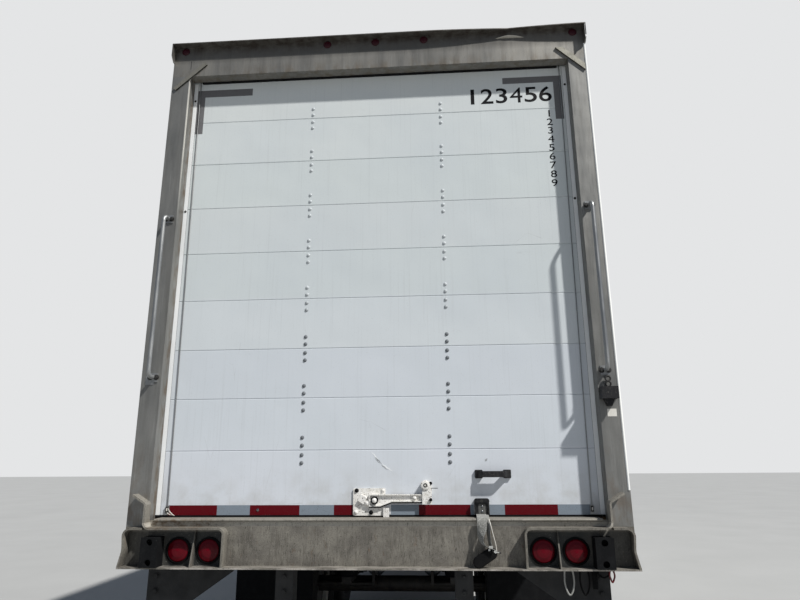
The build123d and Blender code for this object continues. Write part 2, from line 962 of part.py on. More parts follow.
def door_handle():
    """The pull handle on the bottom panel: a bar that bows out between two pads."""
    x0 = handle_x - handle_span / 2
    x1 = handle_x + handle_span / 2
    z = floor_top + handle_rise
    pads = rect(x0, x0 + handle_pad, -handle_pad_height / 2, handle_pad_height / 2)
    pads += rect(x1 - handle_pad, x1, -handle_pad_height / 2, handle_pad_height / 2)
    pads = fillet(pads.vertices(), handle_edge)
    root = door_y - fit - handle_bar_depth / 2
    front = door_y - handle_stand_off + handle_bar_depth / 2
    route = FilletPolyline(
        (x0 + handle_leg_inset, root),
        (x0 + handle_bend_inset, front),
        (x1 - handle_bend_inset, front),
        (x1 - handle_leg_inset, root),
        radius=handle_bend,
    )
    half = handle_bar_height / 2
    bow = along_z(trace(route, line_width=handle_bar_depth), z - half, z + half)
    return along_y(Pos(0, z) * pads, door_y - fit - handle_pad_depth, door_y - fit) + bow


def latch_base():
    """The latch's plate, with the pivot pin, the cam block and the bolt that runs down to the sill."""
    x, z = latch_x, latch_z
    sketch = rect(x - latch_plate_left, x + latch_plate_right, z - latch_plate_down, z + latch_plate_up)
    plate = along_y(fillet(sketch.vertices(), latch_plate_corner), latch_face_y, door_y - fit)
    pin = rod((x, latch_face_y - latch_pin_length, z), (x, latch_face_y, z), latch_pin_radius)
    cam_place = Pos(x - cam_block_left, z + cam_block_up) * Rot(0, 0, cam_block_turn)
    cam_sketch = cam_place * Rectangle(cam_block, cam_block)
    cam = along_y(cam_sketch, latch_face_y - cam_block_proud, latch_face_y)
    bolt_x = x + bolt_left
    bolt_bottom = floor_top + fit
    bolt_face = latch_face_y - bolt_thickness
    bolt = block(bolt_x, bolt_x + bolt_width, bolt_face, latch_face_y, bolt_bottom, z - bolt_top_drop)
    back_x = x + latch_plate_right
    back = block(bolt_x, back_x, latch_face_y, door_y - fit, bolt_bottom, z - latch_plate_down)
    return plate + pin + cam + bolt + back


def lever_outline(inset):
    """The lever's outline drawn in by an inset: a broad head at the pivot that narrows to a bar."""
    top = lever_half - inset
    bar = top - 2 * lever_bar_half + 2 * inset
    return outline(
        (-lever_half + inset, top),
        (lever_reach - inset, top),
        (lever_reach - inset, bar),
        (lever_taper, bar),
        (lever_taper / 3, -top),
        (-lever_half + inset, -top),
    )


def latch_lever():
    """The latch lever: a flanged pressing round the pivot pin."""
    pivot = Pos(latch_x, latch_z)
    back = latch_face_y - fit
    solid = along_y(pivot * lever_outline(0), lever_face_y, back)
    pocket = along_y(pivot * lever_outline(lever_skin), lever_face_y, back - lever_skin)
    hole = rod((latch_x, lever_face_y, latch_z), (latch_x, latch_face_y, latch_z), latch_ring_radius)
    return solid - pocket - hole


def lever_keeper():
    """The keeper over the lever's end: a round head on the door and a tongue in front of the lever."""
    x = latch_x + keeper_reach
    z = latch_z + keeper_up
    front = lever_face_y - fit - keeper_plate
    lever_top = latch_z + lever_half + fit
    head = Pos(x, z) * Circle(keeper_radius)
    head += rect(x - keeper_waist / 2, x + keeper_waist, lever_top, z)
    tongue = rect(x - keeper_waist / 2, x + keeper_waist, latch_z - keeper_foot_drop, lever_top)
    pin = rod((x, front - keeper_pin_proud, z), (x, front, z), keeper_pin_radius)
    return along_y(head, front, door_y - fit) + along_y(tongue, front, front + keeper_plate) + pin


def strap_bracket():
    """The steel bracket that holds the pull strap on the bottom panel, rounded over its top."""
    half = strap_bracket_width / 2
    z0 = floor_top + strap_bracket_rise
    sketch = rect(strap_x - half, strap_x + half, z0, z0 + strap_bracket_height)
    sketch = fillet(sketch.vertices().group_by(Axis.Y)[-1], strap_bracket_corner)
    return along_y(sketch, door_y - fit - strap_bracket_proud, door_y - fit)


def pull_strap():
    """The webbing strap: out of its bracket, over the sill's lip and down behind its grip."""
    start = (door_recess - fit - strap_bracket_proud, strap_exit_z)
    points = [(rear_y + y, z) for y, z in (start, *strap_route)]
    route = FilletPolyline(*points, radius=bend_radii(points))
    half = strap_width / 2
    return along_x(trace(route, line_width=strap_thickness), strap_x - half, strap_x + half)


def strap_grip():
    """The flat grip on the strap's lower end, leaning on the sill's flange."""
    lean = math.radians(grip_lean)
    rise = grip_height / 2 + (grip_length - grip_height) / 2 * math.sin(lean)
    place = Pos(strap_x, flange_top + fit + rise) * Rot(0, 0, grip_lean)
    back = rear_y + strap_route[-1][0] - strap_thickness / 2 - fit
    grip = along_y(place * SlotOverall(grip_length, grip_height), back - grip_thickness, back)
    return chamfer(grip.faces().sort_by(Axis.Y)[0].edges(), grip_edge)


# Marker lamps along the body


def side_lamp(y):
    """A small oval marker lamp on the right bottom rail."""
    z = beam_bottom + side_lamp_rise
    base = Plane(origin=(half_width - rail_bead_proud + fit, y, z), x_dir=(0, 1, 0), z_dir=(1, 0, 0))
    lens = extrude(base * SlotOverall(oval_length, oval_height), amount=oval_proud)
    return chamfer(lens.faces().sort_by(Axis.X)[-1].edges(), oval_edge)


def front_lamp(x):
    """A small oval marker lamp on the nose's top rail."""
    z = body_height - front_lamp_drop
    base = Plane(origin=(x, nose_y + fit, z), x_dir=(-1, 0, 0), z_dir=(0, 1, 0))
    lens = extrude(base * SlotOverall(oval_length, oval_height), amount=oval_proud)
    return chamfer(lens.faces().sort_by(Axis.Y)[-1].edges(), oval_edge)


# Underride guard


def guard_hanger(x):
    """A box post from the sill down to the guard's tube, open at both ends."""
    y0 = rear_y + guard_set_forward
    half = guard_post / 2
    bore = half - guard_post_wall
    plan = rect(x - half, x + half, y0, y0 + guard_post)
    plan -= rect(x - bore, x + bore, y0 + guard_post_wall, y0 + guard_post - guard_post_wall)
    return along_z(plan, guard_clearance + guard_tube, sill_bottom - fit)


def guard_hanger_outer():
    """Right outer hanger with its big gusset plate under the light box."""
    x = half_width - guard_outer_inset
    y0 = rear_y + guard_set_forward
    top = sill_bottom - fit
    root = x - guard_post / 2
    tip = half_width - gusset_inset
    gusset = outline((tip, top), (tip, top - gusset_lip), (root, top - gusset_drop), (root, top))
    return guard_hanger(x) + along_y(gusset, y0, y0 + gusset_plate)


def guard_bar():
    """The guard's square tube across the rear."""
    y0 = rear_y + guard_set_forward - guard_tube_back
    low = guard_clearance
    wall = guard_tube_wall
    section = fillet(rect(y0, y0 + guard_tube, low, low + guard_tube).vertices(), guard_tube_corner)
    section -= rect(y0 + wall, y0 + guard_tube - wall, low + wall, low + guard_tube - wall)
    half_length = half_width - guard_inset
    return along_x(section, -half_length, half_length)


# Coupler


def coupler_plate():
    """Pick-up plate with its front edge turned up as a ramp."""
    y1 = nose_y - coupler_nose_gap
    y0 = y1 - coupler_length
    bend = y1 - coupler_ramp
    z = coupler_plate_z
    t = coupler_plate_thickness
    high = z + coupler_ramp_rise
    section = outline((y0, z), (bend, z), (y1, high), (y1, high + t), (bend, z + t), (y0, z + t))
    return along_x(section, -coupler_width / 2, coupler_width / 2)


def kingpin():
    """The pin that the tractor's jaws close round: collar, neck and head."""
    z0 = coupler_plate_z - fit
    z1 = coupler_plate_z - kingpin_base_height
    z2 = z1 - kingpin_neck_height
    z3 = z2 - kingpin_head_height
    profile = (
        (0, z0),
        (kingpin_base_radius, z0),
        (kingpin_base_radius, z1),
        (kingpin_neck_radius, z1),
        (kingpin_neck_radius, z2),
        (kingpin_head_radius, z2),
        (kingpin_head_radius, z3),
        (0, z3),
    )
    return turned_z(profile, 0, kingpin_y)


def coupler_beams():
    """Box beams between the pick-up plate and the floor."""
    y1 = nose_y - coupler_nose_gap - coupler_ramp - coupler_beam_setback
    y0 = nose_y - coupler_nose_gap - coupler_length
    z0 = coupler_plate_z + coupler_plate_thickness + fit
    section = rect(0, coupler_beam_width, z0, floor_under)
    wall = beam_plate
    section -= rect(wall, coupler_beam_width - wall, z0 + wall, floor_under - wall)
    step = (y1 - y0 - coupler_beam_width) / (coupler_beam_count - 1)
    places = [Pos(y0 + step * i, 0) for i in range(coupler_beam_count)]
    return [along_x(place * section, -wall_outer, wall_outer) for place in places]


# Landing gear


def square_tube(outer, z0, z1):
    """An upright square tube on the right leg's centre line."""
    bore = outer - 2 * leg_wall
    return along_z(Pos(leg_x, landing_y) * (Rectangle(outer, outer) - Rectangle(bore, bore)), z0, z1)


def landing_leg():
    """Right leg: the outer tube, its wing plate and the mounting rail under the floor beams."""
    half_rail = mount_rail_length / 2
    rail = block(
        leg_x - mount_rail_width / 2, leg_x + mount_rail_width / 2,
        landing_y - half_rail, landing_y + half_rail,
        leg_top_z, beam_bottom - fit
    )
    tube_half = leg_outer / 2
    wing = outline(
        (landing_y - wing_half, leg_top_z),
        (landing_y + wing_half, leg_top_z),
        (landing_y + tube_half, leg_top_z - wing_height),
        (landing_y - tube_half, leg_top_z - wing_height),
    )
    wing_x = leg_x - tube_half
    wing = along_x(wing, wing_x - wing_plate, wing_x)
    return square_tube(leg_outer, leg_outer_bottom_z, leg_top_z) + rail + wing


def leg_brace(sign):
    """A flat brace from the leg forward or back up to the floor beams."""
    low_y = landing_y + sign * leg_outer / 2
    high_y = landing_y + sign * brace_reach
    top = beam_bottom - fit
    section = outline(
        (low_y, brace_low_z),
        (low_y, brace_low_z + brace_end),
        (high_y - sign * brace_end, top),
        (high_y, top),
    )
    return along_x(section, leg_x - brace_width / 2, leg_x + brace_width / 2)


def side_brace():
    """Right side brace: a flat bar from the leg in and up to the floor beams."""
    x = leg_x - leg_outer / 2
    top = beam_bottom - fit
    section = outline(
        (x, brace_low_z),
        (x, brace_low_z + brace_end),
        (side_brace_top_x + brace_end, top),
        (side_brace_top_x, top),
    )
    y1 = landing_y + leg_outer / 2 - brace_thickness
    return along_y(section, y1 - brace_thickness, y1)


def landing_inner():
    """Right inner tube, running down inside the leg to the foot's pin."""
    body = square_tube(leg_inner, foot_pivot_z - foot_bend, leg_outer_bottom_z + leg_lap)
    reach = leg_inner / 2 + foot_pin_proud
    z = foot_pivot_z
    pin = rod((leg_x - reach, landing_y, z), (leg_x + reach, landing_y, z), foot_pin_radius)
    return body + pin


def landing_foot():
    """Right sand shoe: a pressed plate with turned-up edges and two ears on the pin."""
    half = foot_size / 2
    t = foot_plate
    flat = half - foot_bend
    up = foot_turn_up
    under = ((-half, up), (-flat, 0), (flat, 0), (half, up))
    pan = outline(*under, *[(y, z + t) for y, z in reversed(under)])
    shoe = along_x(Pos(landing_y, 0) * pan, leg_x - half, leg_x + half)
    top = foot_pivot_z + foot_ear_tip
    root = foot_ear_half
    ear = outline((-root, t / 2), (root, t / 2), (foot_ear_tip, top), (-foot_ear_tip, top))
    ear -= Pos(0, foot_pivot_z) * Circle(foot_pin_radius + fit)
    for x in (leg_x + leg_inner / 2 + foot_ear_gap, leg_x - leg_inner / 2 - foot_ear_gap - foot_ear):
        shoe += along_x(Pos(landing_y, 0) * ear, x, x + foot_ear)
    return shoe


def landing_shaft():
    """The shaft that turns both legs together."""
    x = leg_x - leg_outer / 2 - wing_plate - fit
    return rod((-x, landing_y, cross_shaft_z), (x, landing_y, cross_shaft_z), cross_shaft_radius)


def landing_gearbox():
    """The gearbox on the outside of the left leg."""
    x1 = -leg_x - leg_outer / 2 - fit
    section = Pos(landing_y, cross_shaft_z) * Rectangle(gearbox_width, gearbox_height)
    return along_x(fillet(section.vertices(), gearbox_corner), x1 - gearbox_depth, x1)


def landing_crank():
    """The crank handle, folded back along the leg under the rail."""
    x0 = -leg_x - leg_outer / 2 - gearbox_depth - 2 * fit
    x1 = -half_width + crank_end_gap + crank_grip
    z = cross_shaft_z
    low = z - crank_throw
    y = landing_y
    points = ((x0, y, z), (x1, y, z), (x1, y, low), (x1 - crank_grip, y, low))
    path = FilletPolyline(*points, radius=crank_bend)
    start = Plane(origin=points[0], x_dir=(0, 1, 0), z_dir=(-1, 0, 0))
    return sweep(start * Circle(crank_radius), path=path)


# Sliding bogie


def body_rail():
    """Right slide rail: a channel open to the middle, drilled for the locking pins."""
    x1 = body_rail_x + body_rail_plate
    x0 = x1 - body_rail_flange
    z0 = beam_bottom - body_rail_height
    y0 = bogie_rear_y - body_rail_rear_margin
    y1 = bogie_front_y + slide_forward + body_rail_front_margin
    flange = rect(y0, y1, 0, body_rail_plate)
    web = rect(y0, y1, z0, beam_bottom)
    count = int((y1 - y0) // lock_hole_pitch)
    start = (y0 + y1 - lock_hole_pitch * (count - 1)) / 2
    holes = [
        Pos(start + lock_hole_pitch * i, beam_bottom - body_rail_height / 2) * Circle(lock_hole_radius)
        for i in range(count)
    ]
    rail = along_x(web - holes, body_rail_x, x1)
    for z in (z0, beam_bottom - body_rail_plate):
        rail += along_x(Pos(0, z) * flange, x0, body_rail_x)
    return rail


def bogie_rail():
    """Right bogie rail: a deep box with a ledge that runs inside the slide rail."""
    z1 = beam_bottom - body_rail_plate - slide_gap
    z0 = beam_bottom - body_rail_height + body_rail_plate + slide_gap
    section = rect(bogie_rail_inner_x, bogie_rail_outer_x, bogie_rail_bottom_z, z1)
    section += rect(bogie_rail_outer_x, body_rail_x - slide_gap, z0, z1)
    return along_y(section, bogie_rear_y, bogie_front_y)


def bogie_tube(offset):
    """One cross member between the bogie's two rails."""
    x = bogie_rail_inner_x
    y = tandem_y + offset
    z0 = bogie_rail_bottom_z + cross_tube_rise
    half = cross_tube_width / 2
    return block(-x, x, y - half, y + half, z0, z0 + cross_tube_height)


def lock_rod():
    """The pull rod of the slide's locking pins, out of the left rail to its turned-down grip."""
    y = tandem_y + lock_rod_ahead
    z = bogie_rail_bottom_z + lock_rod_rise
    x0 = -bogie_rail_outer_x + lock_rod_radius
    x1 = -bogie_rail_outer_x - lock_rod_reach
    bar = rod((x1, y, z), (x0, y, z), lock_rod_radius)
    return bar + rod((x1, y, z + lock_rod_radius), (x1, y, z - lock_rod_grip), lock_rod_radius)


def hanger(y_axle):
    """Right hanger: two cheeks down from the bogie rail, holding the arm's pivot."""
    y = y_axle + hanger_ahead
    top = bogie_rail_bottom_z
    low = arm_pivot_z - hanger_below_pivot
    cheek = outline(
        (y - hanger_top_half, top),
        (y + hanger_top_half, top),
        (y + hanger_bottom_half, low),
        (y - hanger_bottom_half, low),
    )
    cheek -= Pos(y, arm_pivot_z) * Circle(arm_pivot_radius)
    inner = arm_width / 2 + fit
    web_y = y + hanger_web_ahead
    web_z = arm_pivot_z + hanger_web_up
    body = block(arm_x - inner, arm_x + inner, web_y, web_y + hanger_plate, web_z, top)
    for x in (arm_x - inner - hanger_plate, arm_x + inner):
        body += along_x(cheek, x, x + hanger_plate)
    return body


def trailing_arm(y_axle):
    """Right trailing arm: from its pivot in the hanger over the axle to the air spring."""
    eye_y = y_axle + hanger_ahead
    eye = arm_eye_half
    tail_y = y_axle - spring_behind - arm_tail_half
    seat = axle_z + axle_radius + fit
    crown = seat + arm_depth
    spring_seat = spring_seat_z - fit
    section = outline(
        (eye_y - eye, arm_pivot_z + eye),
        (eye_y + eye, arm_pivot_z + eye),
        (eye_y + eye, arm_pivot_z - eye),
        (y_axle + arm_seat_half, seat),
        (y_axle - arm_seat_half, seat),
        (tail_y, spring_seat - arm_tail_depth),
        (tail_y, spring_seat),
        (y_axle - 2 * arm_crown_half, spring_seat),
        (y_axle - arm_crown_half, crown),
        (y_axle + arm_crown_half, crown),
    )
    arm = along_x(section, arm_x - arm_width / 2, arm_x + arm_width / 2)
    reach = arm_width / 2 + arm_pin_proud
    z = arm_pivot_z
    return arm + rod((arm_x - reach, eye_y, z), (arm_x + reach, eye_y, z), arm_pivot_radius - fit)


def air_spring(y_axle):
    """Right air spring between the arm's seat and the bogie rail."""
    z0 = spring_seat_z
    z1 = bogie_rail_bottom_z - fit
    neck = z0 + spring_foot_height
    profile = (
        (0, z0),
        (spring_foot_radius, z0),
        (spring_neck_radius, neck),
        (spring_radius, neck + spring_roll),
        (spring_radius, z1 - spring_shoulder),
        (spring_top_radius, z1 - spring_cap),
        (spring_top_radius, z1),
        (0, z1),
    )
    return turned_z(profile, arm_x, y_axle - spring_behind)


def shock_absorber(y_axle):
    """Right shock absorber beside the arm, on a pin in the arm and one in the bogie rail."""
    x = bogie_rail_inner_x - shock_gap - shock_radius
    low = (x, y_axle + shock_low_ahead, axle_z + shock_low_rise)
    high = (x, y_axle + shock_high_ahead, bogie_rail_bottom_z + shock_high_rise)
    body = rod(low, high, shock_radius)
    for place in (low, high):
        body += rod(place, (bogie_rail_inner_x - fit, place[1], place[2]), shock_pin_radius)
    return body


def axle(y):
    """One axle: a round tube with a spindle, a brake spider and a cam shaft at each end."""
    shoulder = axle_half_length - spindle_length
    body = rod((-shoulder, y, axle_z), (shoulder, y, axle_z), axle_radius)
    body += rod((-axle_half_length, y, axle_z), (axle_half_length, y, axle_z), spindle_radius)
    spider_radius = drum_radius - drum_wall - spider_clearance
    cam_y = y - cam_behind
    cam_z = axle_z + cam_rise
    spider = rod((spider_x - spider_plate, y, axle_z), (spider_x, y, axle_z), spider_radius)
    cam = rod((chamber_x - slack_width, cam_y, cam_z), (spider_x, cam_y, cam_z), cam_radius)
    half = slack_width / 2
    slack_top = axle_z + chamber_rise + slack_end
    slack = rect(cam_y - slack_end, cam_y + slack_end, cam_z - slack_end, slack_top)
    arm = along_x(fillet(slack.vertices(), slack_end / 2), chamber_x - half, chamber_x + half)
    end = spider + cam + arm
    return body + end + mirrored(end)


def brake_chamber(y_axle):
    """Right brake chamber over the axle on its bracket, with the push rod back to the slack arm."""
    z = axle_z + chamber_rise
    r = chamber_radius
    e = chamber_edge
    y0 = y_axle + chamber_ahead
    y1 = y0 + chamber_length
    profile = ((0, y0), (r - e, y0), (r, y0 + e), (r, y1 - e), (r - e, y1), (0, y1))
    body = turned_y(profile, chamber_x, z)
    bracket = outline((y_axle, axle_z), (y0, axle_z), (y0 + 2 * e, z), (y_axle + axle_radius, z))
    bracket -= Pos(y_axle, axle_z) * Circle(axle_radius + fit)
    half = chamber_bracket / 2
    body += along_x(bracket, chamber_x - half, chamber_x + half)
    push_end = y_axle - cam_behind + slack_end + fit
    return body + rod((chamber_x, push_end, z), (chamber_x, y0 + e, z), push_rod_radius)


def air_tank(offset):
    """An air tank across the bogie, held between the rails by a plate at each end."""
    y = tandem_y + offset
    r = tank_radius
    half = tank_length / 2
    edge = half - tank_dome
    profile = ((-half, 0), (-half, 0.6 * r), (-edge, r), (edge, r), (half, 0.6 * r), (half, 0))
    tank = turned_x(profile, y, beam_bottom - tank_drop)
    w = tank_plate_width / 2
    z = bogie_rail_bottom_z
    x1 = bogie_rail_inner_x - fit
    plate = block(half - tank_plate_lap, x1, y - w, y + w, z, z + tank_plate_height)
    return tank + plate + mirrored(plate)


def mud_flap():
    """Right mud flap behind the rear wheels."""
    x0 = dual_centre_x - flap_width / 2
    low = flap_top_z - flap_height
    return block(x0, x0 + flap_width, flap_y - flap_thickness, flap_y, low, flap_top_z)


def flap_bar():
    """The round bar that carries both mud flaps, hung from the bogie rails by two lugs."""
    y = flap_y + flap_bar_radius + fit
    x = dual_centre_x + flap_width / 2 - flap_thickness
    z = flap_top_z - flap_bar_drop
    w = flap_lug_width / 2
    d = flap_lug_depth / 2
    lug = block(arm_x - w, arm_x + w, y - d, y + d, z, bogie_rail_bottom_z)
    return rod((-x, y, z), (x, y, z), flap_bar_radius) + lug + mirrored(lug)


# Wheels


def tyre(x_centre, y):
    """One tyre: crowned tread, rounded shoulders, bulged walls and beads."""
    r0 = bead_radius
    r1 = tyre_radius
    mid = (r0 + r1) / 2
    half_profile = (
        (tread_flat, r1),
        (tread_half_width, r1 - tread_crown),
        (tyre_half_width - shoulder_in, r1 - shoulder_drop),
        (tyre_half_width, mid + wall_bulge_rise),
        (tyre_half_width - wall_tuck_in, mid - wall_tuck_drop),
        (rim_half_width, rim_lip_radius + fit),
        (rim_half_width - rim_lip_thickness, r0 + fit),
    )
    profile = [*half_profile, *[(-x, r) for x, r in reversed(half_profile)]]
    return Pos(x_centre, 0, 0) * turned_x(profile, y, axle_z)


def wheel_rim(x_centre, y, face):
    """One disc wheel. A face of +1 is the outer wheel, whose disc meets the other's in the middle."""
    w = rim_half_width
    well = rim_well_radius
    ledge = w - rim_ledge
    lip = rim_lip_radius - rim_lip_thickness
    under = bead_radius - rim_skin
    outside = (
        (rim_well_half, well + rim_well_thickness),
        (ledge, bead_radius),
        (w - rim_lip_thickness, bead_radius),
        (w, rim_lip_radius),
    )
    inside = ((w, lip), (w - rim_skin, under), (ledge, under), (rim_well_half, well))
    right = [*outside, *inside]
    rim = [*right, *[(-x, r) for x, r in reversed(right)]]
    flat = -face * (dual_spacing / 2 - disc_gap / 2)
    bend = flat + face * disc_bend_depth
    t = face * disc_thickness
    disc = (
        (flat, hub_radius + hub_pilot_gap),
        (flat, disc_flat_radius),
        (bend, disc_bend_radius),
        (-face * disc_root, well + 1),
        (-face * disc_root + t, well + 1),
        (bend + t, disc_bend_radius - rim_well_thickness),
        (flat + t, disc_flat_radius - disc_thickness / 2),
        (flat + t, hub_radius + hub_pilot_gap),
    )
    body = turned_x(disc, y, axle_z)
    for i in range(hand_hole_count):
        turn = 2 * math.pi * i / hand_hole_count
        hole_y = y + hand_hole_circle * math.cos(turn)
        hole_z = axle_z + hand_hole_circle * math.sin(turn)
        start = (-tyre_half_width, hole_y, hole_z)
        body -= rod(start, (tyre_half_width, hole_y, hole_z), hand_hole_radius)
    return Pos(x_centre, 0, 0) * (body + turned_x(rim, y, axle_z))


def wheel_hub(y):
    """Right hub and drum: the drum behind the flange, the barrel through both wheels, and the cap."""
    x0 = hub_face_x
    flange = x0 - hub_flange
    flange_radius = disc_flat_radius - hub_flange_inset
    nose = dual_centre_x + hub_nose
    cap_root = nose - hub_cap_length
    crown = flange - drum_crown_depth
    bore = spindle_radius + running_gap
    bore_end = axle_half_length + spindle_clearance
    profile = (
        (drum_back_x, drum_radius),
        (drum_back_x, drum_radius - drum_wall),
        (crown - drum_wall, drum_radius - drum_wall),
        (flange - drum_wall, drum_crown_radius),
        (flange - drum_wall, barrel_radius),
        (flange - barrel_length, barrel_radius),
        (flange - barrel_length, bore),
        (bore_end, bore),
        (bore_end, 0),
        (nose, 0),
        (nose, hub_cap_face),
        (nose - hub_cap_edge, hub_cap_radius),
        (cap_root, hub_cap_radius),
        (cap_root, hub_radius - hub_flange_inset),
        (cap_root - hub_taper, hub_radius),
        (x0, hub_radius),
        (x0, flange_radius),
        (flange, flange_radius),
        (crown, drum_radius),
    )
    return turned_x(profile, y, axle_z)


# Nose fittings


def nose_plate():
    """The plate on the nose that carries the air and light connections."""
    half = nose_plate_height / 2
    return block(
        -nose_plate_width / 2, nose_plate_width / 2, nose_y - rail_skin + fit, nose_y + nose_plate_proud,
        nose_plate_z - half, nose_plate_z + half
    )


def gladhand():
    """One air coupling on the nose: a neck and a flat round head."""
    y0 = nose_y + nose_plate_proud
    y1 = nose_y + nose_fitting_proud
    neck = y0 + gladhand_neck
    profile = (
        (0, y0),
        (gladhand_neck_radius, y0),
        (gladhand_neck_radius, neck),
        (gladhand_radius, neck),
        (gladhand_radius, y1 - gladhand_edge),
        (gladhand_radius - gladhand_edge, y1),
        (0, y1),
    )
    return turned_y(profile, gladhand_x, nose_plate_z)


def light_socket():
    """The round light socket with its lid."""
    y0 = nose_y + nose_plate_proud
    y1 = nose_y + nose_fitting_proud
    r = socket_radius
    e = socket_edge
    return turned_y(((0, y0), (r, y0), (r, y1 - e), (r - e, y1), (0, y1)), 0, nose_plate_z)


# Body shell
write("side_walls", *both(side_wall()))
write("front_wall", front_wall())
write("nose_corner_posts", *both(nose_corner_post()))
write("roof", roof())
write("floor", floor())
write("bottom_rails", *both(bottom_rail()))
write("top_rails", *both(top_rail()))
low_rail = nose_rail(beam_bottom - beam_plate, beam_bottom + rail_height)
high_rail = nose_rail(body_height - top_rail_height, body_height)
write("nose_rails", low_rail, high_rail)
write("floor_beams", *floor_beams())

# Rear frame
write("rear_posts", *both(rear_post()))
write("rear_header", header())
write("corner_bars", *[corner_bar(*row) for row in corner_bars])
write("rear_sill", rear_sill() + light_box() + mirrored(light_box()))
lamps = [tail_lamp(x) for x in lamp_places]
lamps += [header_lamp(half_width - header_lamp_inset), side_lamp(wall_start_y + side_lamp_margin)]
middle_lamps = [header_lamp(header_lamp_pitch * i) for i in (-1, 0, 1)]
write("rear_lamps", *lamps, *[mirrored(lamp) for lamp in lamps], *middle_lamps)
write("lamp_grommets", *[piece for x in lamp_places for piece in both(grommet(x))])
write("dock_bumpers", *both(dock_bumper()))
write("grab_rails", *both(grab_rail()))
write("post_box", post_box())
write("guard_posts", *both(guard_hanger_outer()), *both(guard_hanger(guard_inner_x)))
write("guard_bar", guard_bar())

# Door
write("door_panels", *door_panels())
write("door_seal", door_seal(), top_seal())
write("door_cables", *both(door_cable()))
write("door_handle", door_handle())
write("door_latch", latch_base(), latch_lever(), lever_keeper())
write("strap_bracket", strap_bracket())
write("pull_strap", pull_strap())
write("strap_grip", strap_grip())

# Coupler, landing gear and nose
write("coupler_plate", coupler_plate())
write("kingpin", kingpin())
write("coupler_beams", *coupler_beams())
write("landing_legs", *both(landing_leg() + leg_brace(-1) + leg_brace(1) + side_brace()))
write("landing_feet", *both(landing_inner()), *both(landing_foot()))
write("landing_drive", landing_shaft(), landing_gearbox(), landing_crank())
write("nose_connections", nose_plate() + gladhand() + mirrored(gladhand()) + light_socket())
front_lamp_xs = (half_width - front_lamp_inset, front_lamp_pitch)
amber = [front_lamp(x) for x in front_lamp_xs]
amber += [side_lamp(y) for y in (nose_y - nose_corner - side_lamp_margin, (wall_start_y + nose_y) / 2)]
write("amber_lamps", *amber, *[mirrored(lamp) for lamp in amber], front_lamp(0))

# Bogie
write("slide_rails", *both(body_rail()))
frame = bogie_rail() + mirrored(bogie_rail()) + flap_bar() + lock_rod()
for offset in cross_tube_offsets:
    frame += bogie_tube(offset)
for name, y in axle_places:
    frame += hanger(y) + mirrored(hanger(y))
write("bogie_frame", frame)
write("trailing_arms", *[piece for name, y in axle_places for piece in both(trailing_arm(y))])
write("air_springs", *[piece for name, y in axle_places for piece in both(air_spring(y))])
write("shock_absorbers", *[piece for name, y in axle_places for piece in both(shock_absorber(y))])
write("axles", *[axle(y) for name, y in axle_places])
write("brake_chambers", *[piece for name, y in axle_places for piece in both(brake_chamber(y))])
write("air_tanks", *[air_tank(offset) for offset in tank_offsets])
write("mud_flaps", *both(mud_flap()))

# Wheels
outer_x = dual_centre_x + dual_spacing / 2
inner_x = dual_centre_x - dual_spacing / 2
for name, y in axle_places:
    for label, sign in sides:
        write(f"tyres_{name}_{label}", *[on_side(tyre(x, y), sign) for x in (outer_x, inner_x)])
        wheel = (wheel_rim(outer_x, y, 1), wheel_rim(inner_x, y, -1), wheel_hub(y))
        write(f"wheels_{name}_{label}", *[on_side(piece, sign) for piece in wheel])
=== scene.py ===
import json
import math

import bmesh
import bpy
import numpy as np
from bpy.props import FloatProperty, FloatVectorProperty, IntProperty, PointerProperty, StringProperty
from mathutils import Matrix, Vector


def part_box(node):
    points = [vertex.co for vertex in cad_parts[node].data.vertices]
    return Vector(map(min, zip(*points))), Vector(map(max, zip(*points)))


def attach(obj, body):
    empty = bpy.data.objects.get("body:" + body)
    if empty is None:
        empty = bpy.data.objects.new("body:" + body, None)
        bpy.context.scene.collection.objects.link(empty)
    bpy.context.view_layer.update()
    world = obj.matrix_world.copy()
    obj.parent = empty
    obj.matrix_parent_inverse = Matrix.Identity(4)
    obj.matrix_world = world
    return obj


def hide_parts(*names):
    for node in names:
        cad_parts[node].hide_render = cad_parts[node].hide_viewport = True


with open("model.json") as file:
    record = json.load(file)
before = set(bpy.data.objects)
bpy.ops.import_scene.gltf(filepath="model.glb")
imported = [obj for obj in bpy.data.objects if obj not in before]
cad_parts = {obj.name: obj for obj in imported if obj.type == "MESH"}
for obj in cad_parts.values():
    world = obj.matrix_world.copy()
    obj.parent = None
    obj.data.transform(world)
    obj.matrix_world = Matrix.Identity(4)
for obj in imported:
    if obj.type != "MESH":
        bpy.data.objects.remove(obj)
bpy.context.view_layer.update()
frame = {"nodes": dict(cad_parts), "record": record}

bl_info = {
    "name": "Box Semi-Trailer",
    "version": (1, 0, 0),
    "blender": (4, 5, 0),
    "location": "View3D > Sidebar > Trailer",
    "description": "Trim, markings, tyres and finishes for the frame of a box semi-trailer",
    "category": "Object",
}

# Planes and places of the frame, in metres. A face's Y grows towards the nose.
LOW, HIGH = 0, 1
X, Y, Z = 0, 1, 2


def face(node, side, axis):
    """Where one face of a node's box stands on an axis."""
    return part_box(node)[side][axis]


def middle(node, axis):
    """Where the middle of a node's box stands on an axis."""
    return (face(node, LOW, axis) + face(node, HIGH, axis)) / 2


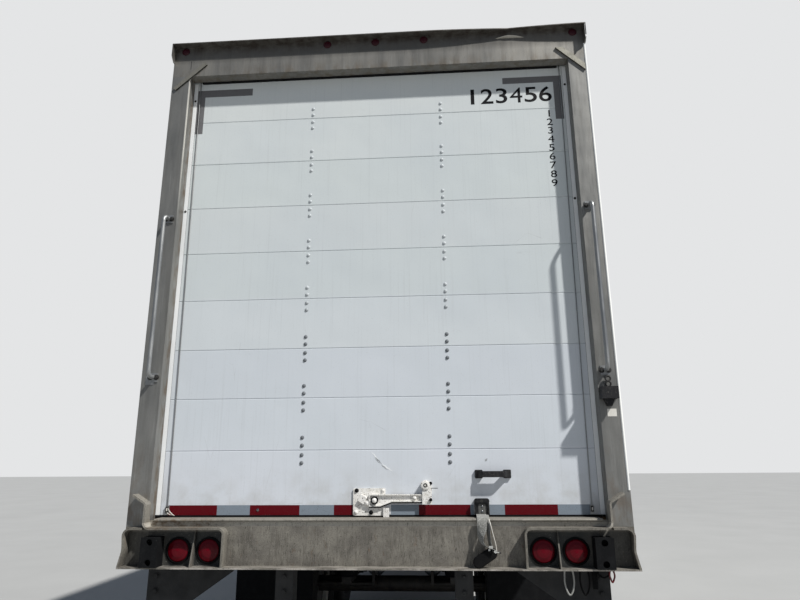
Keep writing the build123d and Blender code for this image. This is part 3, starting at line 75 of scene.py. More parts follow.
POST_Y = face("rear_posts", LOW, Y)
DOOR_Y = face("door_panels", LOW, Y)
LATCH_Y = DOOR_Y - 0.0083
FLOOR_Z = face("floor", HIGH, Z)
SILL_LOW_Z = face("rear_sill", LOW, Z)
FLANGE_Z = SILL_LOW_Z + 0.008
HEADER_Z = face("rear_header", LOW, Z)
ROOF_Z = face("rear_header", HIGH, Z)
NOSE_Y = face("nose_rails", HIGH, Y)
HALF_WIDTH = face("bottom_rails", HIGH, X)
OPENING = HALF_WIDTH - 0.1125
WALL_X = HALF_WIDTH - 0.008
RAIL_X = HALF_WIDTH - 0.003
WALL_START_Y = face("side_walls", LOW, Y)
WALL_END_Y = face("side_walls", HIGH, Y)
RAIL_LOW_Z = face("bottom_rails", LOW, Z)
RAIL_HIGH_Z = face("bottom_rails", HIGH, Z)
TOP_RAIL_Z = face("top_rails", LOW, Z)
AXLE_Z = middle("tyres_front_left", Z)
# Each wheel end's side, which is -1 on the left, and the Y of its axle
WHEEL_ENDS = {
    f"{axle}_{side}": (sign, middle(f"tyres_{axle}_{side}", Y))
    for axle in ("front", "rear")
    for side, sign in (("left", -1), ("right", 1))
}

# The door's seams, from the sill up, where one panel ends and the next begins
DOOR_SEAMS = tuple(FLOOR_Z + 0.01 + rise for rise in (0.332, 0.613, 0.891, 1.183, 1.474, 1.767, 2.063, 2.357))


class TrailerSizes(bpy.types.PropertyGroup):
    """Sizes of the trim that is added to the frame."""

    bolt_radius: FloatProperty(
        name="Door bolt radius", description="Radius of a bolt head on the door", default=0.0095,
        min=0.004, max=0.02, unit="LENGTH",
    )
    rivet_radius: FloatProperty(
        name="Rivet radius", description="Radius of a rivet head on the body", default=0.0065,
        min=0.002, max=0.012, unit="LENGTH",
    )
    tape_width: FloatProperty(
        name="Tape width", description="Width of the reflective tape", default=0.05,
        min=0.025, max=0.1, unit="LENGTH",
    )
    tread_depth: FloatProperty(
        name="Tread depth", description="Depth of the tyres' grooves", default=0.012,
        min=0.002, max=0.018, unit="LENGTH",
    )
    tread_pitches: IntProperty(
        name="Tread pitches", description="Number of pattern repeats round a tyre", default=60,
        min=30, max=90,
    )
    nut_radius: FloatProperty(
        name="Wheel nut radius", description="Radius of a wheel nut over its corners", default=0.019,
        min=0.012, max=0.025, unit="LENGTH",
    )


class TrailerColours(bpy.types.PropertyGroup):
    """Colours and markings of the trailer, and the studio's light."""

    tape_red: FloatVectorProperty(
        name="Red tape", description="Red of the reflective tape, in sRGB", default=(0.34, 0.0, 0.05),
        subtype="COLOR_GAMMA", size=3, min=0, max=1,
    )
    lens_red: FloatVectorProperty(
        name="Red lens", description="Red of the rear lamps, in sRGB", default=(0.39, 0.0, 0.075),
        subtype="COLOR_GAMMA", size=3, min=0, max=1,
    )
    number: StringProperty(
        name="Number", description="Plain digits at the top of the door", default="123456", maxlen=6,
    )
    stack: StringProperty(
        name="Upright number", description="Plain digits down the door's side", default="123456789", maxlen=9,
    )
    key_strength: FloatProperty(
        name="Key light", description="Strength of the key light", default=4.9, min=0, max=10,
    )
    fill_strength: FloatProperty(
        name="Fill light", description="Strength of the even light all round", default=0.26, min=0, max=3,
    )


# Shapes. A form is its points and its faces, as a list of arrays of corners.


def grid_faces(rows, columns, closed_rows=False, closed_columns=False):
    """Four-sided faces of a grid of points: each point with the next in its row and the two below them."""
    r = np.arange(rows if closed_rows else rows - 1)[:, None]
    c = np.arange(columns if closed_columns else columns - 1)[None, :]
    r_next = (r + 1) % rows
    c_next = (c + 1) % columns
    corners = (r * columns + c, r * columns + c_next, r_next * columns + c_next, r_next * columns + c)
    return np.stack(np.broadcast_arrays(*corners), axis=-1).reshape(-1, 4)


def turned(profile, count):
    """A profile of (radius, height) points turned about Z: (r cos a, r sin a, h) at count even angles a."""
    radius, height = np.asarray(profile, float).T
    angle = np.linspace(0, 2 * np.pi, count, endpoint=False)[:, None]
    points = np.stack((radius * np.cos(angle), radius * np.sin(angle), height + 0 * angle), -1)
    return points.reshape(-1, 3), [grid_faces(count, len(radius), closed_rows=True)]


def drum(radius, low, high, count):
    """A round or many-sided bar about Z between two heights: its radius turned, with flat ends."""
    return turned(((0, low), (radius, low), (radius, high), (0, high)), count)


def dome(radius, height, count, rings):
    """A dome on a flat base: height times the sine, and radius times the cosine, of a quarter turn."""
    rise = np.linspace(0, np.pi / 2, rings + 1)
    profile = np.column_stack((radius * np.cos(rise), height * np.sin(rise)))
    return turned(np.vstack(([0, 0], profile)), count)


def slabs(low, high):
    """Boxes between rows of low and high corners: every corner takes one of the two values on each axis."""
    low, high = np.atleast_2d(low), np.atleast_2d(high)
    pick = np.array([[0, 0, 0], [1, 0, 0], [1, 1, 0], [0, 1, 0], [0, 0, 1], [1, 0, 1], [1, 1, 1], [0, 1, 1]])
    points = np.where(pick[None], high[:, None], low[:, None])
    sides = np.array([[0, 3, 2, 1], [4, 5, 6, 7], [0, 1, 5, 4], [1, 2, 6, 5], [2, 3, 7, 6], [3, 0, 4, 7]])
    return points.reshape(-1, 3), [(sides[None] + 8 * np.arange(len(low))[:, None, None]).reshape(-1, 4)]


def placed(form, places, frame_axes=None):
    """A form repeated at every place; its own X, Y and Z run along the three given axes."""
    points, faces = form
    if frame_axes is not None:
        points = points @ np.asarray(frame_axes, float)
    places = np.atleast_2d(places)
    steps = len(points) * np.arange(len(places))[:, None, None]
    repeated = [(block[None] + steps).reshape(-1, block.shape[1]) for block in faces]
    return (points[None] + places[:, None]).reshape(-1, 3), repeated


def joined(*forms):
    """Several forms as one: their points end to end, and their faces counted on."""
    points, faces, start = [], [], 0
    for form_points, form_faces in forms:
        points.append(form_points)
        faces.extend(block + start for block in form_faces)
        start += len(form_points)
    return np.concatenate(points), faces


def drawn(lower, upper):
    """The solid between an outline and the same outline moved: both as faces, joined by a wall."""
    order = np.arange(len(lower))
    wall = grid_faces(2, len(lower), closed_columns=True)
    return np.concatenate((lower, upper)), [wall, order[None], order[None, ::-1] + len(lower)]


def plate(outline, depth):
    """A flat outline of (x, z) points given a depth along Y: the outline twice, joined by a wall."""
    outline = np.asarray(outline, float)
    front = np.column_stack((outline[:, 0], np.zeros(len(outline)), outline[:, 1]))
    return drawn(front, front + (0, depth, 0))


def prism(outline, low, high):
    """A flat outline of (x, y) points drawn up between two heights: the outline twice, joined by a wall."""
    foot = np.column_stack((outline, np.full(len(outline), low)))
    return drawn(foot, foot + (0, 0, high - low))


def rounded(width, height, radius, count=8):
    """A rectangle's outline with rounded corners: a quarter circle of points about each corner's centre."""
    quarter = np.linspace(0, np.pi / 2, count)
    corners = []
    for turn, (side, rise) in enumerate(((1, 1), (-1, 1), (-1, -1), (1, -1))):
        angle = quarter + turn * np.pi / 2
        x, y = side * (width / 2 - radius), rise * (height / 2 - radius)
        corners.append(np.column_stack((x + radius * np.cos(angle), y + radius * np.sin(angle))))
    return np.vstack(corners)


def circle(radius, count):
    """Points round a circle about the origin: (r cos a, r sin a) at count even angles a."""
    angle = np.linspace(0, 2 * np.pi, count, endpoint=False)
    return radius * np.column_stack((np.cos(angle), np.sin(angle)))


def stroke(points, width, y, depth):
    """A thin line along (x, z) points on a face that looks to the rear: the points moved half a width to both
    sides across the line, tapering to nothing at its ends."""
    points = np.asarray(points, float)
    along = np.gradient(points, axis=0)
    along /= np.linalg.norm(along, axis=1, keepdims=True)
    taper = np.sin(np.pi * np.linspace(0.04, 0.96, len(points)))[:, None]
    half = width / 2 * taper * np.column_stack((-along[:, 1], along[:, 0]))
    return placed(plate(np.vstack((points + half, (points - half)[::-1])), depth), [(0, y - depth, 0)])


def lattice(x, y, z):
    """Every place whose x, y and z are each one of those given for its axis."""
    return np.stack(np.meshgrid(x, y, z, indexing="ij"), -1).reshape(-1, 3)


# Axes that stand a form, made upright on Z, on a face that looks to the rear, a side or the front
ON_REAR = ((1, 0, 0), (0, 0, 1), (0, -1, 0))
ON_RIGHT = ((0, 1, 0), (0, 0, 1), (1, 0, 0))
ON_LEFT = ((0, -1, 0), (0, 0, 1), (-1, 0, 0))
ON_NOSE = ((-1, 0, 0), (0, 0, 1), (0, 1, 0))


def outward(sign):
    """The axes of a form that stands on a side of the trailer."""
    return ON_RIGHT if sign > 0 else ON_LEFT


MERGE_DISTANCE = 1e-6
SHARP_ANGLE = math.radians(35)


def mesh_points(mesh):
    """A mesh's points as rows of x, y and z."""
    points = np.zeros(len(mesh.vertices) * 3)
    mesh.vertices.foreach_get("co", points)
    return points.reshape(-1, 3)


def piece(name, form, slot, finish=None, body="trailer", stands_for=(), smooth=True):
    """A finished piece: its doubles merged, its faces turned outwards, riding on a body of the frame. Its
    finish is its slot's own, unless another is named."""
    points, faces = form
    mesh = bpy.data.meshes.new(name)
    mesh.from_pydata(points.tolist(), [], [row for block in faces for row in block.tolist()])
    shell = bmesh.new()
    shell.from_mesh(mesh)
    bmesh.ops.remove_doubles(shell, verts=shell.verts, dist=MERGE_DISTANCE)
    bmesh.ops.dissolve_degenerate(shell, edges=shell.edges, dist=MERGE_DISTANCE)
    bmesh.ops.recalc_face_normals(shell, faces=shell.faces)
    shell.to_mesh(mesh)
    shell.free()
    if smooth:
        mesh.shade_smooth()
        mesh.set_sharp_from_angle(angle=SHARP_ANGLE)
    mesh.materials.append(FINISHES[finish or slot])
    made = bpy.data.objects.new(name, mesh)
    bpy.context.scene.collection.objects.link(made)
    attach(made, body)
    if stands_for:
        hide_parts(*stands_for)
    return made


# Finishes

# A stretch that draws no stain out, and the noise detail that keeps specks round
EVEN = (1, 1, 1)
SPECKS = 2.0


def linear(colour):
    """Linear RGBA of an sRGB colour: c / 12.92 if a channel is dark, else ((c + 0.055) / 1.055) ^ 2.4."""
    if isinstance(colour, str):
        colour = [int(colour[i:i + 2], 16) / 255 for i in (1, 3, 5)]
    return (*[c / 12.92 if c <= 0.04045 else ((c + 0.055) / 1.055) ** 2.4 for c in colour], 1.0)


def add(tree, kind, settings=None, links=None):
    """A node with its settings, which are its own attributes or values of its inputs, and its links."""

    def pick(sockets, key):
        if isinstance(key, int):
            return sockets[key]
        return next(s for s in sockets if s.enabled and s.name == key)

    node = tree.nodes.new(kind)
    values = []
    for key, value in (settings or {}).items():
        if key == "stops":
            ramp = node.color_ramp.elements
            ramp.remove(ramp[1])
            ramp[0].position, ramp[0].color = value[0]
            for place, colour in value[1:]:
                ramp.new(place).color = colour
        elif isinstance(key, str) and key in node.bl_rna.properties:
            setattr(node, key, value)
        else:
            values.append((key, value))
    for key, value in values:
        pick(node.inputs, key).default_value = value
    for key, source in (links or {}).items():
        if isinstance(source, bpy.types.Node):
            source = next(s for s in source.outputs if s.enabled)
        tree.links.new(source, pick(node.inputs, key))
    return node


def begin(name):
    """A finish and its node tree, which holds nothing yet but the Texture Coordinate node."""
    finish = bpy.data.materials.new(name)
    finish.use_nodes = True
    tree = finish.node_tree
    tree.nodes.clear()
    add(tree, "ShaderNodeTexCoord")
    return finish, tree


def where(tree):
    """The piece's own coordinates in metres, from the first node of a tree."""
    return tree.nodes[0].outputs["Object"]


def reading(start, end, low=0.0, high=1.0):
    """Settings that read a value through a window: low at the window's start, and high at its end."""
    return {"From Min": start, "From Max": end, "To Min": low, "To Max": high}


def stains(tree, size, window, strength, stretch=EVEN, seed=0.0, detail=4.0):
    """How stained each point is: noise of one size in metres, drawn out by stretch, read through a window."""
    place = {"Location": (seed, seed, seed), "Scale": tuple(1 / (size * s) for s in stretch)}
    moved = add(tree, "ShaderNodeMapping", place, {"Vector": where(tree)})
    grain = {"Scale": 1.0, "Detail": detail, "Roughness": 0.6}
    noise = add(tree, "ShaderNodeTexNoise", grain, {"Vector": moved})
    return add(tree, "ShaderNodeMapRange", reading(*window, high=strength), {"Value": noise})


def rough_skin(tree, size, stretch=EVEN, seed=0.0, detail=4.0):
    """The height of a rough skin, from 0 to 1: stains of one size over the whole of it."""
    return stains(tree, size, (0.3, 0.7), 1.0, stretch, seed, detail)


def near(tree, axis, start, end, strength=1.0):
    """How near each point is to a level on one axis: nothing at start, growing to the strength at end."""
    places = add(tree, "ShaderNodeSeparateXYZ", {}, {"Vector": where(tree)}).outputs
    return add(tree, "ShaderNodeMapRange", reading(start, end, high=strength), {"Value": places[axis]})


def times(tree, *amounts):
    """Several amounts multiplied together."""
    product = amounts[0]
    for amount in amounts[1:]:
        product = add(tree, "ShaderNodeMath", {"operation": "MULTIPLY"}, {0: product, 1: amount})
    return product


def band(tree, axis, low, low_full, high_full, high):
    """A band along one axis: nothing at its outer levels, and whole between its inner ones."""
    return times(tree, near(tree, axis, low, low_full), near(tree, axis, high, high_full))


def over(tree, under, colour, amount):
    """A colour laid over what is under it, by an amount from 0 to 1."""
    settings = {"data_type": "RGBA"}
    links = {"Factor": amount}
    for key, value in (("A", under), ("B", colour)):
        if isinstance(value, (str, tuple)):
            settings[key] = linear(value)
        else:
            links[key] = value
    return add(tree, "ShaderNodeMix", settings, links)


def stained(tree, colour, *rows):
    """A colour under rows of stains, laid over it in turn: each row is a colour and then what stains() reads,
    which is size, window, strength, stretch, seed and detail."""
    for shade, *settings in rows:
        colour = over(tree, colour, shade, stains(tree, *settings))
    return colour


def finished(finish, tree, colour, rough, relief=(), **own):
    """The finish's surface: its colour, its roughness as a number or a socket, its relief as rows of
    (height socket, depth in metres), and the shader's own settings."""
    settings = {key.replace("_", " "): value for key, value in own.items()}
    links = {"Base Color": colour}
    if isinstance(rough, float):
        settings["Roughness"] = rough
    else:
        links["Roughness"] = rough
    bump = None
    for height, depth in relief:
        under = {"Height": height} if bump is None else {"Height": height, "Normal": bump}
        bump = add(tree, "ShaderNodeBump", {"Strength": 1.0, "Distance": depth}, under)
    if bump is not None:
        links["Normal"] = bump
    shader = add(tree, "ShaderNodeBsdfPrincipled", settings, links)
    add(tree, "ShaderNodeOutputMaterial", {}, {"Surface": shader})
    return finish


def weathered(name, base, tint, dirt, rough, grain, depth, streaks=0.5, specks=0.3, low_z=None, **own):
    """A painted or metal skin out of doors: two close tints in soft patches half a metre across, dirt that
    runs down it in streaks 20 mm wide, specks of 5 mm, and a fine relief of the given grain and depth."""
    finish, tree = begin(name)
    colour = stained(
        tree, base, (tint, 0.5, (0.4, 0.65), 1.0), (dirt, 0.02, (0.5, 0.75), streaks, (1, 1, 30), 3.1),
        (dirt, 0.005, (0.62, 0.7), specks, EVEN, 7.7, SPECKS),
    )
    if low_z is not None:
        soil = stains(tree, 0.03, (0.35, 0.7), 0.5, (1, 1, 3))
        colour = over(tree, colour, dirt, times(tree, near(tree, "Z", low_z[1], low_z[0]), soil))
    patches = stains(tree, 0.12, (0.35, 0.7), 1.0, seed=1.3)
    skin = rough_skin(tree, grain, seed=5.0, detail=SPECKS)
    shine = add(tree, "ShaderNodeMapRange", reading(0.0, 1.0, *rough), {"Value": patches})
    return finished(finish, tree, colour, shine, [(skin, depth)], **own)


def white_laminated_door():
    """Plywood door panels faced in baked white sheet: each panel weathers to its own slightly cool white."""
    finish, tree = begin("white_faced_plywood_door")
    seams = [0.0] + [(z - FLOOR_Z) / (HEADER_Z - FLOOR_Z) for z in DOOR_SEAMS]
    tones = (
        "#D2D6DC", "#CFD4D9", "#CDD2D7", "#D0D5D7", "#CDD3D3", "#CFD4D4", "#CED4D3", "#D2D7D6", "#D4D8D6",
    )
    stops = [(place, linear(tone)) for place, tone in zip(seams, tones)]
    panels = add(tree, "ShaderNodeValToRGB", {"stops": stops}, {"Fac": near(tree, "Z", FLOOR_Z, HEADER_Z)})
    panels.color_ramp.interpolation = "CONSTANT"
    colour = stained(
        tree, panels,
        ("#C2C9CD", 0.7, (0.35, 0.75), 0.5),
        ("#A3A6A6", 0.012, (0.55, 0.8), 0.22, (1, 1, 60), 2.0),
    )
    foot = near(tree, "Z", FLOOR_Z + 0.28, FLOOR_Z + 0.02)
    colour = over(tree, colour, "#A09C92", times(tree, foot, stains(tree, 0.09, (0.4, 0.7), 0.5)))
    colour = stained(tree, colour, ("#8C8A84", 0.004, (0.66, 0.72), 0.35, EVEN, 4.0, SPECKS))
    turn = {"Location": (0.4, 0, 1.1), "Rotation": (0, 0.7, 0), "Scale": (6, 1, 2.2)}
    moved = add(tree, "ShaderNodeMapping", turn, {"Vector": where(tree)})
    edges = {"feature": "DISTANCE_TO_EDGE", "Scale": 1.0}
    lines = add(tree, "ShaderNodeTexVoronoi", edges, {"Vector": moved})
    hairlines = add(tree, "ShaderNodeMapRange", reading(0.006, 0.0, high=0.4), {"Value": lines})
    patches = stains(tree, 0.3, (0.6, 0.68), 1.0, seed=9.0)
    colour = over(tree, colour, "#9A9B9B", times(tree, hairlines, patches))
    fine = rough_skin(tree, 0.003, detail=2.0)
    wave = rough_skin(tree, 0.25, seed=6.0, detail=1.0)
    return finished(finish, tree, colour, 0.32, [(wave, 0.0015), (fine, 0.00006)], Coat_Weight=0.15)


def stained_stainless(name, base, tint, brown, low_z, marks=None):
    """Folded stainless sheet, left bare: a satin metal with long water runs and brown tea stains low down.
    A function of its own marks may add what only one piece shows: stains, and the posts' painted highlight
    and the header's painted shade."""
    finish, tree = begin(name)
    colour = stained(
        tree, base,
        (tint, 0.22, (0.38, 0.66), 1.0, (1, 1, 2.5)),
        ("#5A5751", 0.03, (0.52, 0.78), 0.4, (1, 1, 14), 2.2),
        ("#3F3C37", 0.007, (0.6, 0.74), 0.3, (1, 1, 22), 6.2),
        ("#B9B9B5", 0.01, (0.6, 0.78), 0.25, (1, 1, 30), 8.1),
    )
    tea = stains(tree, 0.05, (0.46, 0.66), 0.55, (1, 1, 2))
    colour = over(tree, colour, brown, times(tree, near(tree, "Z", *low_z), tea))
    colour = stained(tree, colour, ("#2E2C29", 0.004, (0.64, 0.72), 0.5, EVEN, 5.5, SPECKS))
    if marks:
        colour = marks(tree, colour)
    patches = stains(tree, 0.05, (0.35, 0.7), 1.0, (1, 1, 8), 1.0)
    shine = add(tree, "ShaderNodeMapRange", reading(0.0, 1.0, 0.38, 0.6), {"Value": patches})
    grain = rough_skin(tree, 0.0012, (1, 1, 40), detail=2.0)
    buckle = rough_skin(tree, 0.18, seed=4.4, detail=1.0)
    return finished(finish, tree, colour, shine, [(buckle, 0.002), (grain, 0.00005)], Metallic=0.55)


def post_highlight_and_stains(tree, colour):
    """The left post's return: its bend painted bright near the top as a painted highlight, and brown tea
    stains beside the door.
    """
    inner = band(tree, "X", -OPENING - 0.004, -OPENING - 0.002, -OPENING + 0.002, -OPENING + 0.004)
    # painted highlight: the bend of the return near the top, bright as where it catches the light
    bend = times(tree, near(tree, "Y", POST_Y + 0.018, POST_Y + 0.012), near(tree, "Z", 2.9, 3.7))
    colour = over(tree, colour, "#F2EEE4", times(tree, inner, bend))
    tea = stains(tree, 0.03, (0.4, 0.62), 0.8, (1, 1, 2.5), 21.0)
    beside = near(tree, "Y", POST_Y + 0.02, POST_Y + 0.06)
    return over(tree, colour, "#5B4932", times(tree, inner, beside, tea))


def header_shade_and_runs(tree, colour):
    """The header's top: painted shade under the flange, and brown runs gathered under the roof's edge."""
    # painted shade: the face darker where the flange above shades it
    colour = over(tree, colour, "#4C4944", near(tree, "Z", 3.985, 4.03, 0.6))
    runs = stains(tree, 0.05, (0.4, 0.65), 0.7, seed=17.0)
    return over(tree, colour, "#3A2F27", times(tree, near(tree, "Z", 4.04, 4.1), runs))


def sill_road_dirt_and_painted_light():
    """Galvanised sill plate under years of road dirt: dull beige grey, dark runs, rust at the left and a
    paler lower edge.
    Painted light on it: a highlight on the top lip, a pale band over the lip's shadow, and shade inside the
    light boxes."""
    finish, tree = begin("galvanised_sill_road_dirt_and_painted_light")
    colour = stained(
        tree, "#6A665F",
        ("#7E7A71", 0.09, (0.4, 0.62), 1.0),
        ("#4E4A42", 0.014, (0.5, 0.72), 0.55, (1, 1, 6), 2.0),
        ("#99948A", 0.012, (0.56, 0.74), 0.45, (1, 1, 5), 6.0),
        ("#6B4F35", 0.02, (0.63, 0.76), 0.5, (1, 1, 3), 13.0),
    )
    # painted highlight: the top lip paler, as where the light falls on it
    colour = over(tree, colour, "#A8A49A", near(tree, "Z", FLOOR_Z - 0.017, FLOOR_Z - 0.012, 0.3))
    # painted light: a pale band under the top lip, laid over the lip's cast shadow
    painted_light_under_lip = times(tree, near(tree, "Z", FLOOR_Z - 0.0375, FLOOR_Z - 0.0355),
                    near(tree, "Z", FLOOR_Z - 0.0145, FLOOR_Z - 0.0165, 0.85))
    colour = over(tree, colour, "#B4AFA4", painted_light_under_lip)
    rusty = times(
        tree, band(tree, "X", -1.19, -1.14, -0.9, -0.78),
        band(tree, "Z", FLOOR_Z - 0.06, FLOOR_Z - 0.03, FLOOR_Z - 0.003, FLOOR_Z + 0.002),
        stains(tree, 0.02, (0.44, 0.62), 0.75, (1.6, 1, 1), 15.0),
    )
    colour = over(tree, colour, "#665038", rusty)
    # painted shade: darker inside the light boxes, under their top bars
    places = add(tree, "ShaderNodeSeparateXYZ", {}, {"Vector": where(tree)}).outputs
    aside = add(tree, "ShaderNodeMath", {"operation": "ABSOLUTE"}, {0: places["X"]})
    inside = add(tree, "ShaderNodeMapRange", reading(0.763, 0.767), {"Value": aside})
    outer = add(tree, "ShaderNodeMapRange", reading(1.1, 1.04, low=0.62), {"Value": aside})
    depth = near(tree, "Y", POST_Y - 0.04, POST_Y - 0.002, 0.95)
    painted_box_shade = times(tree, inside, depth, near(tree, "Z", 1.19, 1.18), outer)
    colour = over(tree, colour, "#242727", painted_box_shade)
    # paler in patches along the bottom flange's edge
    pale_flange_edge = times(tree, near(tree, "Z", FLANGE_Z + 0.003, FLANGE_Z - 0.003),
                   stains(tree, 0.025, (0.42, 0.6), 0.9, (4, 1, 1)))
    colour = stained(
        tree, over(tree, colour, "#B4AEA6", pale_flange_edge),
        ("#25231F", 0.0035, (0.6, 0.67), 0.8, EVEN, 3.0, SPECKS),
        ("#2C2822", 0.007, (0.62, 0.69), 0.7, (0.6, 1, 5), 31.0, SPECKS),
        ("#C8C3B8", 0.003, (0.68, 0.73), 0.7, EVEN, 11.0, SPECKS),
    )
    relief = [(rough_skin(tree, 0.07, detail=1.0), 0.002), (rough_skin(tree, 0.0025), 0.0002)]
    return finished(finish, tree, colour, 0.62, relief, Metallic=0.25)


def prismatic_tape(name, colour, worn):
    """Retro-reflective tape: a clear face over prisms, sealed in a honeycomb of 6 mm cells that are drawn
    coarser than the real 3 mm so that they show."""
    finish, tree = begin(name)
    honeycomb = {"feature": "DISTANCE_TO_EDGE", "Scale": 1 / 0.006, "Randomness": 0.15}
    cells = add(tree, "ShaderNodeTexVoronoi", honeycomb, {"Vector": where(tree)})
    seals = add(tree, "ShaderNodeMapRange", reading(0.09, 0.03, high=0.03), {"Value": cells})
    colour = over(tree, tuple(colour), "#A99794", seals)
    colour = stained(
        tree, colour,
        (worn, 0.03, (0.55, 0.8), 0.3, EVEN, 1.0),
        ("#3A3836", 0.004, (0.62, 0.7), 0.6, EVEN, 7.0, SPECKS),
    )
    return finished(finish, tree, colour, 0.4, [(cells, 0.0001)], Specular_IOR_Level=0.12)


def lens(name, colour, deep):
    """Moulded polycarbonate lens: clear colour over a ribbed inside, whose 6 mm optics show as rings. Up on
    the
    header it is darker: painted shade of the header's recess."""
    finish, tree = begin(name)
    rings = {"feature": "F1", "Scale": 1 / 0.006, "Randomness": 0.0}
    optics = add(tree, "ShaderNodeTexVoronoi", rings, {"Vector": where(tree)})
    shade = add(tree, "ShaderNodeMapRange", reading(0.1, 0.6, high=0.45), {"Value": optics})
    colour = over(tree, tuple(colour), deep, shade)
    colour = stained(tree, colour, ("#3A1216", 0.02, (0.55, 0.75), 0.25))
    # painted shade: the header's lamps darker, in the shade of the header's recess
    colour = over(tree, colour, "#2E1018", near(tree, "Z", HEADER_Z, HEADER_Z + 0.05, 0.9))
    own = {"Coat_Weight": 0.06, "Coat_Roughness": 0.1, "Specular_IOR_Level": 0.15}
    return finished(finish, tree, colour, 0.3, [(optics, 0.0002)], **own)


def moulded_rubber(name, base, dust, grain):
    """Moulded black rubber: nearly matt, grey dust in its hollows and scuffs on what it meets."""
    finish, tree = begin(name)
    colour = stained(
        tree, base, (dust, 0.06, (0.45, 0.8), 0.6), ("#4A4742", 0.006, (0.62, 0.74), 0.25, EVEN, 2.0),
    )
    return finished(finish, tree, colour, 0.75, [(rough_skin(tree, grain), 0.0004)], Specular_IOR_Level=0.15)


def tyre_rubber():
    """Tyre tread and walls: black rubber, greyed by road dust that lies in patches."""
    finish, tree = begin("tyre_rubber_with_road_dust")
    colour = stained(
        tree, "#1C1C1C",
        ("#2B2A28", 0.25, (0.35, 0.75), 1.0),
        ("#4A463F", 0.02, (0.55, 0.8), 0.35, EVEN, 3.0),
    )
    return finished(finish, tree, colour, 0.82, [(rough_skin(tree, 0.003), 0.0005)], Specular_IOR_Level=0.3)


def worn_latch_paint():
    """White enamel over pressed steel, handled daily: dark grease in the corners and chips down to rust."""
    finish, tree = begin("worn_white_enamel_on_steel")
    colour = stained(
        tree, "#E9E7E2",
        ("#CFCCC3", 0.035, (0.45, 0.75), 1.0),
        ("#8F887C", 0.012, (0.55, 0.75), 0.6, EVEN, 2.0),
    )
    chips = stains(tree, 0.006, (0.6, 0.63), 0.95, seed=5.0, detail=3.0)
    return finished(finish, tree, over(tree, colour, "#4A3A30", chips), 0.45, [(chips, -0.0004)])


def door_bolt_heads():
    """Bolt heads: a painted reflection, pale like the door's white higher up and dull dark grey on the three
    lowest seams.
    """
    finish, tree = begin("bolt_heads_painted_reflection")
    # painted reflection: dark grey low on the door, pale higher up
    colour = over(tree, "#6A6E72", "#C2C7C9", near(tree, "Z", FLOOR_Z + 0.95, FLOOR_Z + 1.25))
    colour = stained(tree, colour, ("#55585A", 0.006, (0.5, 0.7), 0.45, EVEN, 3.0))
    return finished(finish, tree, colour, 0.45, Specular_IOR_Level=0.3)


def bar_scuffs_and_painted_shade():
    """Stainless bars in the rear frame's corners: dull and scuffed, with painted shade: the left one darker,
    and dark along their sides.
    """
    finish, tree = begin("stainless_bar_scuffs_and_painted_shade")
    colour = stained(tree, "#9C998D", ("#8A877B", 0.03, (0.42, 0.64), 1.0))
    # painted shade: the left bar darker
    colour = over(tree, colour, "#76746C", near(tree, "X", 0.0, -0.2, 0.85))
    # painted shade: dark along the bars' sides, behind their faces
    colour = over(tree, colour, "#2C2A26", near(tree, "Y", POST_Y - 0.0095, POST_Y - 0.008, 0.9))
    colour = stained(tree, colour, ("#4A443A", 0.008, (0.56, 0.7), 0.6, (1, 1, 2), 4.0))
    return finished(finish, tree, colour, 0.5, [(rough_skin(tree, 0.002), 0.0001)], Metallic=0.3)


def woven_webbing():
    """Polyester webbing: threads 1.3 mm apart, along and aslant the band, a little coarser than the real ones
    so that they show, greyed and frayed."""
    finish, tree = begin("woven_polyester_webbing")
    across = {"Vector": add(tree, "ShaderNodeUVMap", {"uv_map": "weave"})}
    warp = {"bands_direction": "X", "Scale": 12.0, "Distortion": 0.6, "Detail": 1.0}
    weft = {"bands_direction": "DIAGONAL", "Scale": 22.0, "Distortion": 0.8}
    thread = times(tree, *[add(tree, "ShaderNodeTexWave", wave, across) for wave in (warp, weft)])
    colour = stained(
        tree, over(tree, "#63635F", "#A9A9A3", thread),
        ("#D8D8D2", 0.004, (0.56, 0.66), 0.8, EVEN, 2.0), ("#2B2B2A", 0.006, (0.55, 0.68), 0.8, EVEN, 6.0),
    )
    return finished(finish, tree, colour, 0.9, [(thread, 0.0006)], Sheen_Weight=0.3, Specular_IOR_Level=0.2)


def hardwood_boards():
    """Laminated oak floor: boards 35 mm wide glued edge to edge, greyed below by the road."""
    finish, tree = begin("laminated_oak_floor")
    places = add(tree, "ShaderNodeSeparateXYZ", {}, {"Vector": where(tree)}).outputs
    board = add(tree, "ShaderNodeMath", {"operation": "MULTIPLY", 1: 1 / 0.035}, {0: places["X"]})
    board = add(tree, "ShaderNodeMath", {"operation": "FLOOR"}, {0: board})
    shade = add(tree, "ShaderNodeTexWhiteNoise", {"noise_dimensions": "1D"}, {"W": board})
    grain = stains(tree, 0.004, (0.35, 0.7), 0.7, (1, 60, 1))
    colour = over(tree, over(tree, "#6E5538", "#8E7350", shade.outputs["Value"]), "#4A3A28", grain)
    return finished(finish, tree, colour, 0.7, [(grain, 0.0003)])


def roof_sheet():
    """One aluminium roof sheet over bows 610 mm apart, which show through it as faint ridges."""
    finish, tree = begin("aluminium_roof_sheet")
    colour = stained(
        tree, "#B4B6B5",
        ("#9C9E9B", 0.8, (0.4, 0.65), 1.0),
        ("#6F6C65", 0.05, (0.5, 0.75), 0.55, (12, 1, 1)),
    )
    ridges = {"bands_direction": "Y", "Scale": math.pi / 0.61 / 10, "Distortion": 0.0}
    bows = add(tree, "ShaderNodeTexWave", ridges, {"Vector": where(tree)})
    return finished(finish, tree, colour, 0.42, [(bows, 0.004)], Metallic=0.3)


